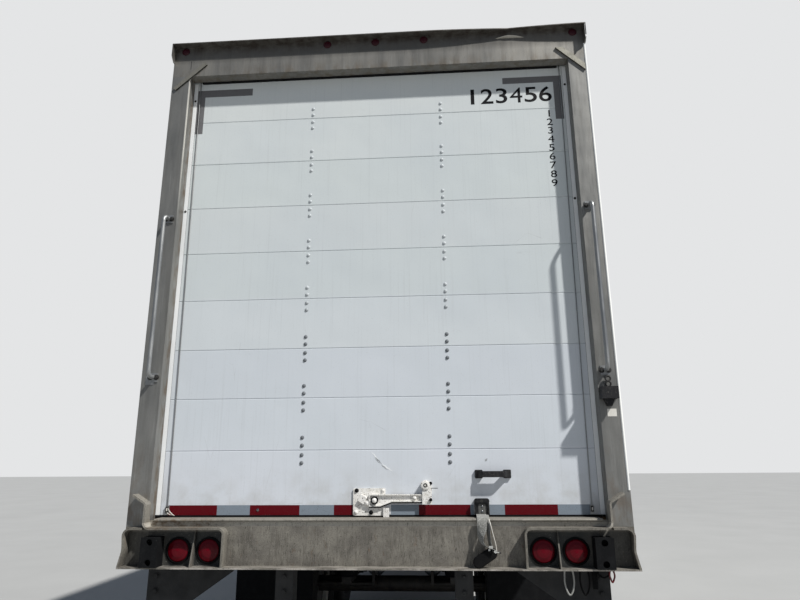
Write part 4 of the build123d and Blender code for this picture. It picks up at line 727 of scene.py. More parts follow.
# Weathered finishes by slot or name: the material's name, its base, tint and dirt, its roughness from and to,
# its grain and relief in metres, how strong its streaks and specks are, and what differs for it alone
WEATHERED = {
    "white_panel": (
        "baked_white_side_sheet", "#D2D5D6", "#C8CCCD", "#8F8C84", (0.25, 0.45), 0.004, 0.0001, 0.3, 0.12,
        {"low_z": (1.3, 1.9), "Coat_Weight": 0.2},
    ),
    "aluminium_rail": (
        "mill_finish_aluminium", "#A4A7A8", "#8F9293", "#5B5751", (0.35, 0.6), 0.002, 0.0001, 0.45, 0.35,
        {"low_z": (1.1, 1.3), "Metallic": 0.7},
    ),
    "beam_paint": (
        "grey_beam_coating", "#333435", "#42413F", "#2A241F", (0.5, 0.8), 0.004, 0.0003, 0.35, 0.5,
        {"low_z": (1.1, 1.16)},
    ),
    "galvanised_steel": (
        "zinc_coated_steel", "#8E9091", "#A3A4A3", "#5E5850", (0.35, 0.6), 0.002, 0.0001, 0.3, 0.5,
        {"Metallic": 0.75},
    ),
    "guard_paint": (
        "dull_black_guard_paint", "#101112", "#191A1B", "#2E2A25", (0.5, 0.8), 0.004, 0.0003, 0.35, 0.5,
        {"low_z": (0.5, 0.62)},
    ),
    "black_plastic": (
        "moulded_black_nylon", "#151517", "#232325", "#77746D", (0.35, 0.6), 0.0015, 0.0002, 0.15, 0.5,
        {"Specular_IOR_Level": 0.3},
    ),
    "coupler_steel": (
        "greased_plate_steel", "#3E3A35", "#2A2622", "#15120F", (0.25, 0.55), 0.01, 0.0008, 0.1, 0.6,
        {"Metallic": 0.6},
    ),
    "black_chassis": (
        "black_chassis_enamel", "#151515", "#222120", "#4E473D", (0.5, 0.8), 0.004, 0.0003, 0.35, 0.5,
        {"low_z": (0.2, 0.75)},
    ),
    "cast_aluminium": (
        "cast_aluminium", "#9A9A98", "#868683", "#4F4B45", (0.4, 0.65), 0.0015, 0.0003, 0.1, 0.4,
        {"Metallic": 0.8},
    ),
    "wheel_paint": (
        "white_powder_coated_wheel", "#C3C2BC", "#ABA8A0", "#5B4E40", (0.35, 0.6), 0.003, 0.0002, 0.2, 0.6,
        {"low_z": (0.1, 0.6)},
    ),
    "bolt_steel": (
        "polished_stainless_bolt", "#8C8E90", "#A2A4A5", "#5B5852", (0.16, 0.34), 0.002, 0.00005, 0.1, 0.2,
        {"Metallic": 1.0},
    ),
    # painted highlight for bent edges, near white as where they catch the light
    "worn_edge": (
        "bright_worn_edge", "#F2F2EE", "#E6E7E5", "#A8A49A", (0.3, 0.5), 0.002, 0.00005, 0.2, 0.3, {},
    ),
    "bright_buckle": (
        "bright_zinc_buckle", "#DADAD6", "#C4C4C0", "#6F6A60", (0.25, 0.45), 0.001, 0.0001, 0.1, 0.4,
        {"Metallic": 0.4},
    ),
    "bright_tie": (
        "natural_nylon_tie", "#DDDAD2", "#CFCBC2", "#7F7A70", (0.4, 0.5), 0.001, 0.00005, 0.1, 0.3, {},
    ),
    "lifted_sheet": (
        "lifted_white_sheet", "#F0F2F2", "#E6E8E8", "#B0B2B2", (0.3, 0.5), 0.002, 0.0001, 0.1, 0.2, {},
    ),
    "scratch": (
        "bared_plywood_scratch", "#8E9193", "#A2A5A6", "#6B6C6A", (0.5, 0.7), 0.002, 0.0001, 0.2, 0.6, {},
    ),
    "vinyl": (
        "black_vinyl_film", "#060709", "#0C0D0F", "#1C1C1E", (0.4, 0.6), 0.002, 0.00005, 0.1, 0.2,
        {"Specular_IOR_Level": 0.15},
    ),
    "red_cable": (
        "red_cable_sheath", "#6E1A20", "#581318", "#2C1A18", (0.4, 0.6), 0.002, 0.0001, 0.1, 0.4, {},
    ),
    "pale_cable": (
        "grey_cable_sheath", "#8C8C88", "#A3A29D", "#3F3B36", (0.4, 0.6), 0.002, 0.0001, 0.1, 0.6, {},
    ),
}
# The finishes made so far, by slot or name, and the nodes whose finish isn't that of their slot
FINISHES = {}
NODE_FINISHES = {
    "rear_header": "header", "strap_grip": "strap_rubber", "strap_bracket": "black_plastic",
    "corner_bars": "bar_steel",
}


def make_finishes(colours):
    """Makes every finish, for the frame's slots by the record's names and for the pieces that differ."""
    for name, (*settings, own) in WEATHERED.items():
        FINISHES[name] = weathered(*settings, **own)
    FINISHES.update(
        white_door=white_laminated_door(),
        white_roof=roof_sheet(),
        floor_boards=hardwood_boards(),
        frame_steel=stained_stainless(
            "bare_stainless_posts", "#787875", "#8A8985", "#6B5A47", (1.7, 1.2), post_highlight_and_stains,
        ),
        header=stained_stainless(
            "stainless_header_stains_and_painted_shade", "#807E79", "#8F8C85", "#6A5C49", (3.97, 3.9), header_shade_and_runs,
        ),
        # painted highlight: the header's buckle brighter than the header, as where its swell catches the
        # light
        buckle_steel=stained_stainless(
            "folded_stainless_painted_highlight", "#A5A298", "#B5B2A8", "#7A6B55", (3.8, 3.7),
        ),
        bar_steel=bar_scuffs_and_painted_shade(),
        sill_steel=sill_road_dirt_and_painted_light(),
        red_lens=lens("red_polycarbonate_lens", colours.lens_red, "#2A0206"),
        amber_lens=lens("amber_polycarbonate_lens", (0.85, 0.42, 0.08), "#8A3A05"),
        black_rubber=moulded_rubber("moulded_black_rubber", "#0B0C0E", "#1D1E1F", 0.003),
        strap_rubber=moulded_rubber("cracked_rubber_grip", "#0A0A0B", "#1C1B1A", 0.002),
        strap_window=moulded_rubber("dusty_strap_end", "#5A5A58", "#8A8984", 0.002),
        black_cable=moulded_rubber("black_cable_sheath", "#050506", "#101011", 0.003),
        tyre_rubber=tyre_rubber(),
        latch_paint=worn_latch_paint(),
        webbing=woven_webbing(),
        door_bolt=door_bolt_heads(),
        tape_red=prismatic_tape("red_prismatic_tape", colours.tape_red, "#54161C"),
        tape_white=prismatic_tape("white_prismatic_tape", (0.49, 0.53, 0.57), "#6F6C66"),
        tape_grey=prismatic_tape("weathered_grey_tape", (0.42, 0.42, 0.425), "#5A5854"),
    )


# Steps, one for each piece or group of like pieces


class Step:
    """What all steps share: each can be undone."""

    bl_options = {"REGISTER", "UNDO"}


class TRAILER_OT_frame_finishes(Step, bpy.types.Operator):
    """Gives every node of the frame its finish; the nodes themselves stay as they are."""

    bl_idname = "trailer.frame_finishes"
    bl_label = "Finish Frame"

    def execute(self, context):
        make_finishes(context.scene.trailer_colours)
        slots = {row["node"]: row["material_slot"] for row in frame["record"]["subparts"]}
        for name, node in frame["nodes"].items():
            node.data.materials.clear()
            node.data.materials.append(FINISHES[NODE_FINISHES.get(name, slots[name])])
        return {"FINISHED"}


def smooth_line(points, count):
    """A smooth line over a route: the quadratic B-spline whose control points are the route's,
    clamped at both ends. Each stretch blends three neighbours by (1-t)^2/2, 1/2+t(1-t) and t^2/2."""
    points = np.asarray(points, float)
    points = np.vstack((2 * points[0] - points[1], points, 2 * points[-1] - points[-2]))
    t = np.linspace(0, 1, count)[None, :, None]
    first, second, third = points[:-2, None], points[1:-1, None], points[2:, None]
    line = first * (1 - t) ** 2 / 2 + second * (0.5 + t * (1 - t)) + third * t ** 2 / 2
    return np.vstack((line[:, :-1].reshape(-1, points.shape[1]), line[-1, -1:]))


# The strap's two strands, from its bracket to the buckle: x, y ahead of the posts, z, roll in degrees
STRAP_FRONT = (
    (0.525, 0.0607, 1.2620, 0), (0.525, 0.0360, 1.2620, 0), (0.525, 0.0060, 1.2560, 0),
    (0.524, -0.0260, 1.2470, 4), (0.5225, -0.0340, 1.2150, 12), (0.5225, -0.0300, 1.1880, 34),
    (0.5235, -0.0240, 1.1620, 62), (0.5340, -0.0230, 1.1370, 70), (0.5560, -0.0255, 1.1190, 72),
    (0.5800, -0.0288, 1.1120, 72),
)
STRAP_BACK = (
    (0.5870, 0.0607, 1.2588, 0), (0.5870, 0.0360, 1.2588, 0), (0.5870, 0.0060, 1.2528, 4),
    (0.5880, -0.0300, 1.2400, 30), (0.5860, -0.0520, 1.2150, 66), (0.5855, -0.0590, 1.1750, 74),
    (0.5880, -0.0605, 1.1380, 76), (0.5930, -0.0605, 1.1120, 76),
)
STRAP_WIDTH = 0.05


def strand(route, anchor):
    """A band of webbing beside a line. Across it, P = line + (u - anchor) width (cos roll, -sin roll, 0) for
    u from 0 to 1, and its two skins stand 1.3 mm (1 - 0.45 |2u - 1|^8) off along the normal, with a ripple of
    0.5 mm. Gives points, faces and weave, which is how far across and along each point is, in widths."""
    line = smooth_line(np.array(route) + (0, POST_Y, 0, 0), 9)
    line, roll = line[:, :3], np.radians(line[:, 3])
    along = np.gradient(line, axis=0)
    along /= np.linalg.norm(along, axis=1, keepdims=True)
    across = np.column_stack((np.cos(roll), -np.sin(roll), np.zeros(len(roll))))
    normal = np.cross(across, along)
    normal /= np.linalg.norm(normal, axis=1, keepdims=True)
    run = np.concatenate(([0], np.cumsum(np.linalg.norm(np.diff(line, axis=0), axis=1))))
    u = np.linspace(0, 1, 21)
    centre = line[:, None] + (u - anchor)[None, :, None] * STRAP_WIDTH * across[:, None]
    thick = 0.0013 * (1 - 0.45 * np.abs(2 * u - 1) ** 8)[None]
    ripple = 0.0005 * np.sin(run * 140)[:, None] * (4 * u * (1 - u))[None]
    skins = [centre + (side * thick + ripple)[..., None] * normal[:, None] for side in (1, -1)]
    ring = np.concatenate((skins[0], skins[1][:, ::-1]), axis=1)
    rows, columns = ring.shape[:2]
    faces = [grid_faces(rows, columns, closed_columns=True)]
    steps = np.arange(columns // 2 - 1)
    for row in (0, rows - 1):
        near_side, far_side = row * columns + steps, row * columns + columns - 1 - steps
        faces.append(np.stack((near_side, near_side + 1, far_side - 1, far_side), -1))
    share = np.concatenate((u, u[::-1]))
    weave = np.stack(np.broadcast_arrays(share[None], run[:, None] / STRAP_WIDTH), -1)
    return ring.reshape(-1, 3), faces, weave.reshape(-1, 2)


class TRAILER_OT_strap(Step, bpy.types.Operator):
    """Adds the pull strap: one band of webbing, doubled, its strands twisting edge-on towards the buckle."""

    bl_idname = "trailer.strap"
    bl_label = "Add Pull Strap"

    def execute(self, context):
        strands = (strand(STRAP_FRONT, 0), strand(STRAP_BACK, 1))
        form = joined(*[made[:2] for made in strands])
        weave = np.vstack([made[2] for made in strands])
        strap = piece("pull_strap_webbing", form, "webbing", stands_for=["pull_strap"])
        corners = np.zeros(len(strap.data.loops), np.int32)
        strap.data.loops.foreach_get("vertex_index", corners)
        if not np.allclose(mesh_points(strap.data), form[0], atol=MERGE_DISTANCE):
            raise RuntimeError("the strap's points aren't in the order in which they were made")
        layer = strap.data.uv_layers.new(name="weave")
        layer.data.foreach_set("uv", weave[corners].astype(np.float32).ravel())
        return {"FINISHED"}


class TRAILER_OT_strap_fittings(Step, bpy.types.Operator):
    """Adds the strap bracket's hood, window and screws, and the bright buckle over the grip's upper end."""

    bl_idname = "trailer.strap_fittings"
    bl_label = "Add Strap Fittings"

    def execute(self, context):
        x, y, top = middle("strap_bracket", X), face("strap_bracket", LOW, Y), face("strap_bracket", HIGH, Z)
        cheeks = [(x + side * 0.034, y - 0.004, top - 0.052) for side in (-1, 1)]
        piece("strap_bracket_hood", joined(
            placed(plate(rounded(0.078, 0.026, 0.012), 0.007), [(x, y - 0.007, top - 0.011)]),
            placed(plate(rounded(0.068, 0.016, 0.0075), 0.003), [(x, y - 0.010, top - 0.010)]),
            placed(plate(rounded(0.008, 0.052, 0.003), 0.004), cheeks),
        ), "black_plastic")
        window = placed(plate(rounded(0.036, 0.05, 0.006), 0.0015), [(x, y - 0.0015, top - 0.05)])
        piece("strap_bracket_window", window, "webbing", "strap_window", smooth=False)
        screw = turned(((0, 0), (0.0055, 0), (0.0052, 0.0016), (0.003, 0.0032), (0, 0.0036)), 14)
        places = [(x + 0.001, y - 0.0015, top - drop) for drop in (0.038, 0.064)]
        piece("strap_bracket_screws", placed(screw, places, ON_REAR), "galvanised_steel", "bolt_steel")
        grip_y = face("strap_grip", LOW, Y)
        piece("strap_buckle", joined(
            placed(plate(rounded(0.021, 0.013, 0.004), 0.004), [(0.5845, grip_y - 0.003, 1.1185)]),
            placed(plate(rounded(0.010, 0.009, 0.003), 0.003), [(0.5765, grip_y - 0.003, 1.1065)]),
            placed(plate(circle(0.0075, 20), 0.003), [(0.6065, grip_y - 0.002, 1.099)]),
            placed(plate(rounded(0.016, 0.004, 0.0015), 0.003), [(0.619, grip_y - 0.001, 1.0955)]),
        ), "galvanised_steel", "bright_buckle", smooth=False)
        pin = turned(((0, 0), (0.0045, 0), (0.0045, 0.006), (0.003, 0.0075), (0, 0.0075)), 12)
        piece("strap_pin", placed(pin, [(0.6285, grip_y, 1.0945)], ON_REAR), "black_chassis")
        return {"FINISHED"}


def cord_piece(name, route, radius, finish):
    """A cord along a route, which is the control points of an open NURBS spline of order 3 through its ends:
    a bevelled curve, whose length is that of the same curve without its bevel."""
    curve = bpy.data.curves.new(name, "CURVE")
    curve.dimensions = "3D"
    curve.resolution_u = 12
    spline = curve.splines.new("NURBS")
    spline.points.add(len(route) - 1)
    for point, place in zip(spline.points, route):
        point.co = (*place, 1.0)
    spline.order_u = 3
    spline.use_endpoint_u = True
    line = bpy.data.objects.new(name, curve)
    mesh = bpy.data.meshes.new_from_object(line)
    length = float(np.linalg.norm(np.diff(mesh_points(mesh), axis=0), axis=1).sum())
    bpy.data.meshes.remove(mesh)
    curve.bevel_depth = radius
    curve.bevel_resolution = 3
    curve.use_fill_caps = True
    curve.materials.append(FINISHES[finish])
    bpy.context.scene.collection.objects.link(line)
    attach(line, "trailer")


# The rear lamps' cables: where each leaves and enters the sill, its drop, how far back it hangs, its finish
CABLES = {
    "lamp_cable_inner": (0.940, 0.976, 0.108, 0.0, "pale_cable"),
    "lamp_cable_middle": (1.014, 1.050, 0.108, 0.0, "black_cable"),
    "lamp_cable_outer": (1.102, 1.146, 0.034, 0.0, "black_cable"),
    "lamp_cable_end": (1.152, 1.166, 0.05, -0.02, "red_cable"),
}


class TRAILER_OT_cords(Step, bpy.types.Operator):
    """Adds the rear lamps' cables, in loops under the right light box, and the strap's thin pale tie."""

    bl_idname = "trailer.cords"
    bl_label = "Add Cords"

    def execute(self, context):
        low = SILL_LOW_Z - 0.0005
        for name, (x0, x1, drop, back, finish) in CABLES.items():
            mid, half, y = (x0 + x1) / 2, (x1 - x0) / 2, POST_Y - 0.014 + back
            route = [
                (x0, y, low), (x0 - 0.006, y, low - 0.35 * drop), (mid - half, y, low - 0.8 * drop),
                (mid, y + 0.002, low - 1.12 * drop), (mid + half, y, low - 0.85 * drop),
                (x1 + 0.008, y, low - 0.4 * drop), (x1, y, low),
            ]
            cord_piece(name, route, 0.0042, finish)
        y = face("strap_grip", LOW, Y) - 0.003
        tie = [
            (0.581, POST_Y - 0.036, 1.2475), (0.586, y + 0.006, 1.236), (0.597, y, 1.18), (0.6105, y, 1.128),
            (0.612, y, 1.102),
        ]
        cord_piece("strap_tie", tie, 0.0019, "bright_tie")
        return {"FINISHED"}


class TRAILER_OT_door_bolts(Step, bpy.types.Operator):
    """Adds domed bolt heads to the door: four beside each seam in two columns, over a thin washer."""

    bl_idname = "trailer.door_bolts"
    bl_label = "Add Door Bolts"

    def execute(self, context):
        radius = context.scene.trailer_sizes.bolt_radius
        shares = np.array([0, 1.12, 1.12, 1, 0.93, 0.7, 0.36, 0])
        heights = np.array([0, 0, 0.8, 0.9, 2.8, 4.7, 5.6, 5.8]) / 1000
        bolt = turned(np.column_stack((shares * radius, heights)), 20)
        levels = np.add.outer(DOOR_SEAMS, (-0.067, -0.025, 0.025, 0.067)).ravel()
        bolts = placed(bolt, lattice((-0.4, 0.4), DOOR_Y, levels), ON_REAR)
        piece("door_bolts", bolts, "galvanised_steel", "door_bolt")
        return {"FINISHED"}


class TRAILER_OT_door_edges(Step, bpy.types.Operator):
    """Adds what runs down both sides of the door: a thin white strip screwed to the post's return, its grey
    edge, the clips with their pins at the feet of the lift cables, and the left one's loose ties."""

    bl_idname = "trailer.door_edges"
    bl_label = "Add Door Edges"

    def execute(self, context):
        low, high = FLOOR_Z + 0.012, HEADER_Z - 0.001
        strip, edge = OPENING - 0.024, OPENING - 0.0255
        wall, y = OPENING - 0.0003, DOOR_Y - 0.0009
        strips = slabs([(-wall, y, low), (strip, y, low)], [(-strip, DOOR_Y, high), (wall, DOOR_Y, high)])
        piece("door_edge_strips", strips, "white_door", "lifted_sheet", smooth=False)
        y = DOOR_Y - 0.0006
        lines = slabs([(-strip, y, low), (edge, y, low)], [(-edge, DOOR_Y, high), (strip, DOOR_Y, high)])
        clip_y = face("door_cables", LOW, Y)
        feet = np.array([(side * (OPENING - 0.066), clip_y, FLOOR_Z + 0.04) for side in (-1, 1)])
        clips = placed(plate(rounded(0.014, 0.03, 0.004), 0.002), feet - (0, 0.002, 0))
        piece("cable_foot_clips", clips, "black_chassis", smooth=False)
        pins = joined(
            placed(plate(rounded(0.006, 0.015, 0.0029), 0.002), feet - (0, 0.004, 0)),
            stroke([(-1.112, 1.295), (-1.1, 1.276), (-1.084, 1.262), (-1.072, 1.256)], 0.005, clip_y, 0.003),
            stroke([(-1.121, 1.281), (-1.112, 1.269), (-1.1, 1.262), (-1.088, 1.259)], 0.004, clip_y, 0.002),
        )
        piece("cable_foot_pins", pins, "galvanised_steel", "bright_tie", smooth=False)
        piece("door_edge_seals", lines, "black_rubber", "tape_grey", smooth=False)
        return {"FINISHED"}


# The long scratch over the latch, as (x, z) points
SCRATCH = np.array([
    (-0.024, 1.576), (-0.016, 1.566), (-0.008, 1.561), (0.000, 1.549), (0.006, 1.545), (0.013, 1.536),
    (0.021, 1.531), (0.027, 1.521), (0.035, 1.516), (0.041, 1.506), (0.050, 1.502), (0.058, 1.493),
    (0.070, 1.488), (0.080, 1.479), (0.092, 1.474),
])


class TRAILER_OT_scratches(Step, bpy.types.Operator):
    """Adds the scratches through the door's white face over the latch, pale along one side where the sheet is
    lifted, and the small dark nick over the handle."""

    bl_idname = "trailer.scratches"
    bl_label = "Add Scratches"

    def execute(self, context):
        piece("door_scratches", joined(
            stroke(SCRATCH[3:9], 0.006, DOOR_Y, 0.0003),
            stroke(SCRATCH[2:7] + (0.005, -0.013), 0.004, DOOR_Y, 0.0003),
            stroke(SCRATCH[8:13] + (-0.002, -0.003), 0.006, DOOR_Y, 0.0003),
            stroke([(0.583, 1.524), (0.589, 1.531), (0.596, 1.539)], 0.012, DOOR_Y, 0.0003),
        ), "white_door", "scratch", smooth=False)
        piece("door_scratch_edges", joined(
            stroke(SCRATCH[:6] + (0.002, 0.003), 0.005, DOOR_Y, 0.0004),
            stroke(SCRATCH[8:] + (0.003, 0.003), 0.006, DOOR_Y, 0.0004),
        ), "white_door", "lifted_sheet", smooth=False)
        return {"FINISHED"}


def rear_tape(edges, y, low, height):
    """Flat strips of tape on a face that looks to the rear, one for each pair of X edges."""
    x0, x1 = np.asarray(edges, float).T
    return slabs(lattice(x0, y - 0.0005, low), lattice(x1, y, low + height))


def side_tape(starts, length, sign, low, height):
    """Flat strips of tape along a side, each from its start forward."""
    inner, outer = sorted((sign * RAIL_X, sign * (RAIL_X + 0.0006)))
    return slabs(lattice(inner, starts, low), lattice(outer, starts + length, low + height))


# Tape: how long its red and white lengths are, and the X edges of those at the door's foot
TAPE_RED, TAPE_WHITE = 0.28, 0.178
DOOR_REDS = ((-1.114, -0.848), (-0.669, -0.402), (-0.218, -0.117), (0.23, 0.498), (0.675, 0.946))
DOOR_WHITES = (
    (-0.848, -0.669), (-0.402, -0.218), (0.084, 0.23), (0.498, 0.515), (0.597, 0.675), (0.946, 1.108),
)


class TRAILER_OT_tapes(Step, bpy.types.Operator):
    """Adds red and white tape along the door's foot, the guard and the sides, and grey tape at the top."""

    bl_idname = "trailer.tapes"
    bl_label = "Add Tapes"

    def execute(self, context):
        width = context.scene.trailer_sizes.tape_width
        pitch = TAPE_RED + TAPE_WHITE
        door = (DOOR_Y, FLOOR_Z + 0.0105, width)
        guard = (face("guard_bar", LOW, Y), middle("guard_bar", Z) - width / 2, width)
        edges = -1.19 + pitch * np.arange(5)[:, None]
        starts = WALL_START_Y + 0.25 + pitch * np.arange(34)
        side_z = RAIL_LOW_Z + 0.13
        reds = [rear_tape(DOOR_REDS, *door), rear_tape(edges + (0, TAPE_RED), *guard)]
        whites = [rear_tape(DOOR_WHITES, *door), rear_tape(edges + (TAPE_RED, pitch), *guard)]
        for sign in (-1, 1):
            reds.append(side_tape(starts, TAPE_RED, sign, side_z, width))
            whites.append(side_tape(starts[:-1] + TAPE_RED, TAPE_WHITE, sign, side_z, width))
        piece("tape_red", joined(*reds), "red_lens", "tape_red", smooth=False)
        piece("tape_white", joined(*whites), "white_door", "tape_white", smooth=False)
        corners = slabs(
            [(-1.123, DOOR_Y - 0.0006, 3.800), (-1.158, DOOR_Y - 0.0005, 3.538),
             (0.790, DOOR_Y - 0.0006, 3.797), (1.100, DOOR_Y - 0.0005, 3.538)],
            [(-0.799, DOOR_Y, 3.85), (-1.108, DOOR_Y, 3.85), (1.104, DOOR_Y, 3.84), (1.15, DOOR_Y, 3.84)],
        )
        piece("corner_tapes", corners, "frame_steel", "tape_grey", smooth=False)
        return {"FINISHED"}


def digit(text, low, high, bold):
    """One plain digit as a thin solid, set in a box of (x, z) corners on the door: as high as the box, and a
    quarter wider than the font has it where the box has room. A 4 isn't thickened, to keep its eye open."""
    curve = bpy.data.curves.new("digit", "FONT")
    curve.body = text
    curve.offset = bold if text != "4" else 0.0
    curve.extrude = 0.1
    curve.resolution_u = 6
    carrier = bpy.data.objects.new("digit", curve)
    bpy.context.scene.collection.objects.link(carrier)
    bpy.context.view_layer.update()
    mesh = bpy.data.meshes.new_from_object(carrier.evaluated_get(bpy.context.evaluated_depsgraph_get()))
    points = mesh_points(mesh)
    faces = [np.array([polygon.vertices[:]]) for polygon in mesh.polygons]
    bpy.data.objects.remove(carrier)
    bpy.data.meshes.remove(mesh)
    size = np.ptp(points, axis=0)
    share = (points - points.min(0)) / size
    full, height = high[0] - low[0], high[1] - low[1]
    width = min(full, 1.25 * size[0] / size[1] * height)
    x = low[0] + (full - width) / 2 + share[:, 0] * width
    return np.column_stack((x, DOOR_Y - 0.0006 * share[:, 2], low[1] + share[:, 1] * height)), faces


class TRAILER_OT_numbers(Step, bpy.types.Operator):
    """Adds generic black digits: a broad row at the door's top right, and a small column under its end."""

    bl_idname = "trailer.numbers"
    bl_label = "Add Numbers"

    def execute(self, context):
        colours = context.scene.trailer_colours
        row, column = [], []
        for i, text in enumerate(colours.number):
            x = 0.562 + 0.0895 * i
            row.append(digit(text, (x, 3.663), (x + 0.0765, 3.768), 0.01))
        for i, text in enumerate(colours.stack):
            z = 3.601 - 0.058 * i
            column.append(digit(text, (1.043, z - 0.045), (1.081, z), 0.005))
        piece("door_digits", joined(*row, *column), "black_plastic", "vinyl", smooth=False)
        return {"FINISHED"}


class TRAILER_OT_latch_fittings(Step, bpy.types.Operator):
    """Adds what stands on the latch: the pivot's black ring and white cap, washers, plate bolts, the keeper's
    ears and tongue, and a dark plate behind the lever, painted shade that shows as a dark line along its
    lower edge."""

    bl_idname = "trailer.latch_fittings"
    bl_label = "Add Latch Fittings"

    def execute(self, context):
        x, z = -0.001, 1.331
        face_y = LATCH_Y - 0.0163
        keeper_y = face("door_latch", LOW, Y)
        lip = ((0.0202, 0.002), (0.0195, 0.0055), (0.0155, 0.0062), (0.0128, 0.004))
        ring = turned(((0.0128, 0), (0.0195, 0), *lip), 40)
        hollow = turned(((0.0055, 0), (0.0105, 0), (0.0105, 0.0012), (0.0055, 0.0012)), 32)
        ear = turned(((0, 0), (0.0085, 0), (0.0085, 0.004), (0.006, 0.0065), (0, 0.007)), 20)
        cap = turned(
            ((0, 0), (0.0125, 0), (0.0125, 0.0015), (0.0095, 0.004), (0.004, 0.0055), (0, 0.0057)), 32,
        )
        rosette = turned(
            ((0, 0), (0.024, 0), (0.024, 0.0015), (0.0205, 0.0035), (0.0125, 0.0042), (0, 0.0042)), 40,
        )
        grip = ((0.0135, 0.004), (0.0135, 0.009), (0.011, 0.0135), (0.005, 0.016), (0, 0.0165))
        knob = turned(((0, 0), (0.012, 0), *grip), 24)
        crown = ((0.0085, 0.0035), (0.0062, 0.0062), (0.0028, 0.0074), (0, 0.0076))
        bolt = joined(drum(0.011, 0, 0.0015, 20), turned(((0, 0.001), (0.0085, 0.001), *crown), 20))
        lever = [(-0.03, 0.03), (0.26, 0.03), (0.26, -0.008), (0.09, -0.008), (0.03, -0.03), (-0.03, -0.03)]
        piece("latch_rings", joined(
            placed(ring, [(x, face_y, z)], ON_REAR),
            placed(hollow, [(0.2665, keeper_y - 0.0028, 1.406)], ON_REAR),
            placed(ear, [(0.2945, keeper_y + 0.006, 1.4155), (0.2935, keeper_y, 1.334)], ON_REAR),
            placed(bolt, [(-0.097, LATCH_Y, 1.380), (-0.02, LATCH_Y, 1.27)], ON_REAR),
            # painted shade: a dark plate behind the lever, set lower, that shows as a shadow line under it
            placed(plate(lever, 0.004), [(x, LATCH_Y - 0.0043, z - 0.0075)]),
            slabs([(0.296, keeper_y + 0.004, 1.3895)], [(0.331, keeper_y + 0.008, 1.3925)]),
        ), "black_rubber")
        piece("latch_bolts", joined(
            placed(cap, [(x, LATCH_Y - 0.022, z)], ON_REAR),
            placed(rosette, [(0.2665, keeper_y + 0.0012, 1.406)], ON_REAR),
            placed(bolt, [(0.042, LATCH_Y, 1.379), (-0.1, LATCH_Y, 1.272)], ON_REAR),
            placed(knob, [(-0.041, LATCH_Y, 1.317)], ON_REAR),
            placed(bolt, [(0.21, face_y, 1.341)], ON_REAR),
        ), "latch_paint")
        return {"FINISHED"}


class TRAILER_OT_corner_bars(Step, bpy.types.Operator):
    """Adds the flat bars welded across the upper corners of the door opening: outlines of (x, z) corners
    given a depth along Y. The left one's ends are square, and the right one's follow the header and post."""

    bl_idname = "trailer.corner_bars"
    bl_label = "Add Corner Bars"

    def execute(self, context):
        proud = 0.010
        depth = proud - 0.0003
        low = np.array([-OPENING - 0.091, HEADER_Z - 0.092])
        high = np.array([-OPENING + 0.101, HEADER_Z + 0.085])
        along = (high - low) / np.linalg.norm(high - low)
        half = 0.011 * np.array([-along[1], along[0]])
        left = plate([low - half, high - half, high + half, low + half], depth)
        right = plate([(1.110, 3.974), (1.280, 3.811), (1.280, 3.854), (1.154, 3.974)], depth)
        bars = placed(joined(left, right), [(0, POST_Y - proud, 0)])
        piece("corner_bars_cut", bars, "frame_steel", "bar_steel", stands_for=["corner_bars"], smooth=False)
        return {"FINISHED"}


class TRAILER_OT_post_trim(Step, bpy.types.Operator):
    """Adds small trim to the rear frame: the bare tag under the box, the eyes and the plate at the feet of
    the grab rails, the bent edge of the right post and of the header's end, painted bright as a highlight,
    the black strap under the sill, the header's seam, and the buckle in the header's face under the dented
    flange, its stainless
    painted brighter as a highlight: a lens of length 2a and height h whose swell is d (1 - (x/a)^2) sin(pi
    v), with v from 0 at its foot to 1."""

    bl_idname = "trailer.post_trim"
    bl_label = "Add Post Trim"

    def execute(self, context):
        tag = slabs([(1.219, POST_Y - 0.001, 1.745)], [(1.266, POST_Y, 1.784)])
        piece("post_tag", tag, "white_door", "bright_tie", smooth=False)
        eye = turned(np.vstack((circle(0.0045, 12) + (0.013, 0.0045), [(0.0175, 0.0045)])), 24)
        feet = [(1.233, POST_Y - 0.012, face("grab_rails", LOW, Z) - drop) for drop in (0.02, 0.048)]
        piece("post_eyes", placed(eye, feet, ON_REAR), "black_chassis")
        bend = np.array([(-0.0125, 0), (-0.009, -0.004), (-0.006, -0.0045), (0, 0)]) + (HALF_WIDTH, POST_Y)
        end = np.array([(-0.007, 0), (-0.001, 0), (-0.001, 0.006), (-0.007, 0.006)])
        worn = joined(
            prism(bend, RAIL_HIGH_Z - 0.02, HEADER_Z + 0.1),
            prism(end + (HALF_WIDTH, face("rear_header", LOW, Y)), ROOF_Z - 0.1, ROOF_Z - 0.002),
        )
        piece("post_edge", worn, "frame_steel", "worn_edge", smooth=False)
        along, rise = np.meshgrid(np.linspace(-1, 1, 33), np.linspace(0, 1, 13), indexing="ij")
        fade = 1 - along ** 2
        depth = POST_Y - 0.014 * fade * np.sin(np.pi * rise)
        swell = np.stack((0.838 + 0.088 * along, depth, 4.064 + 0.018 * fade * rise), -1)
        back = swell.copy()
        back[..., 1] = POST_Y
        skin = grid_faces(*along.shape)
        buckle = joined((swell.reshape(-1, 3), [skin]), (back.reshape(-1, 3), [skin[:, ::-1]]))
        piece("header_buckle", buckle, "frame_steel", "buckle_steel")
        foot, top = SILL_LOW_Z - 0.09, SILL_LOW_Z - 0.0003
        strap = slabs([(1.072, POST_Y - 0.003, foot)], [(1.097, POST_Y + 0.001, top)])
        piece("lamp_cable_strap", strap, "black_rubber", "black_cable", smooth=False)
        foot_plate = placed(plate(rounded(0.048, 0.046, 0.004), 0.003), [(-1.2455, POST_Y - 0.0033, 1.969)])
        piece("grab_rail_plate", foot_plate, "galvanised_steel", smooth=False)
        seam = slabs([(-1.1835, POST_Y - 0.0006, 3.953)], [(-1.1805, POST_Y, 4.012)])
        piece("header_seam", seam, "frame_steel", "black_chassis", smooth=False)
        return {"FINISHED"}


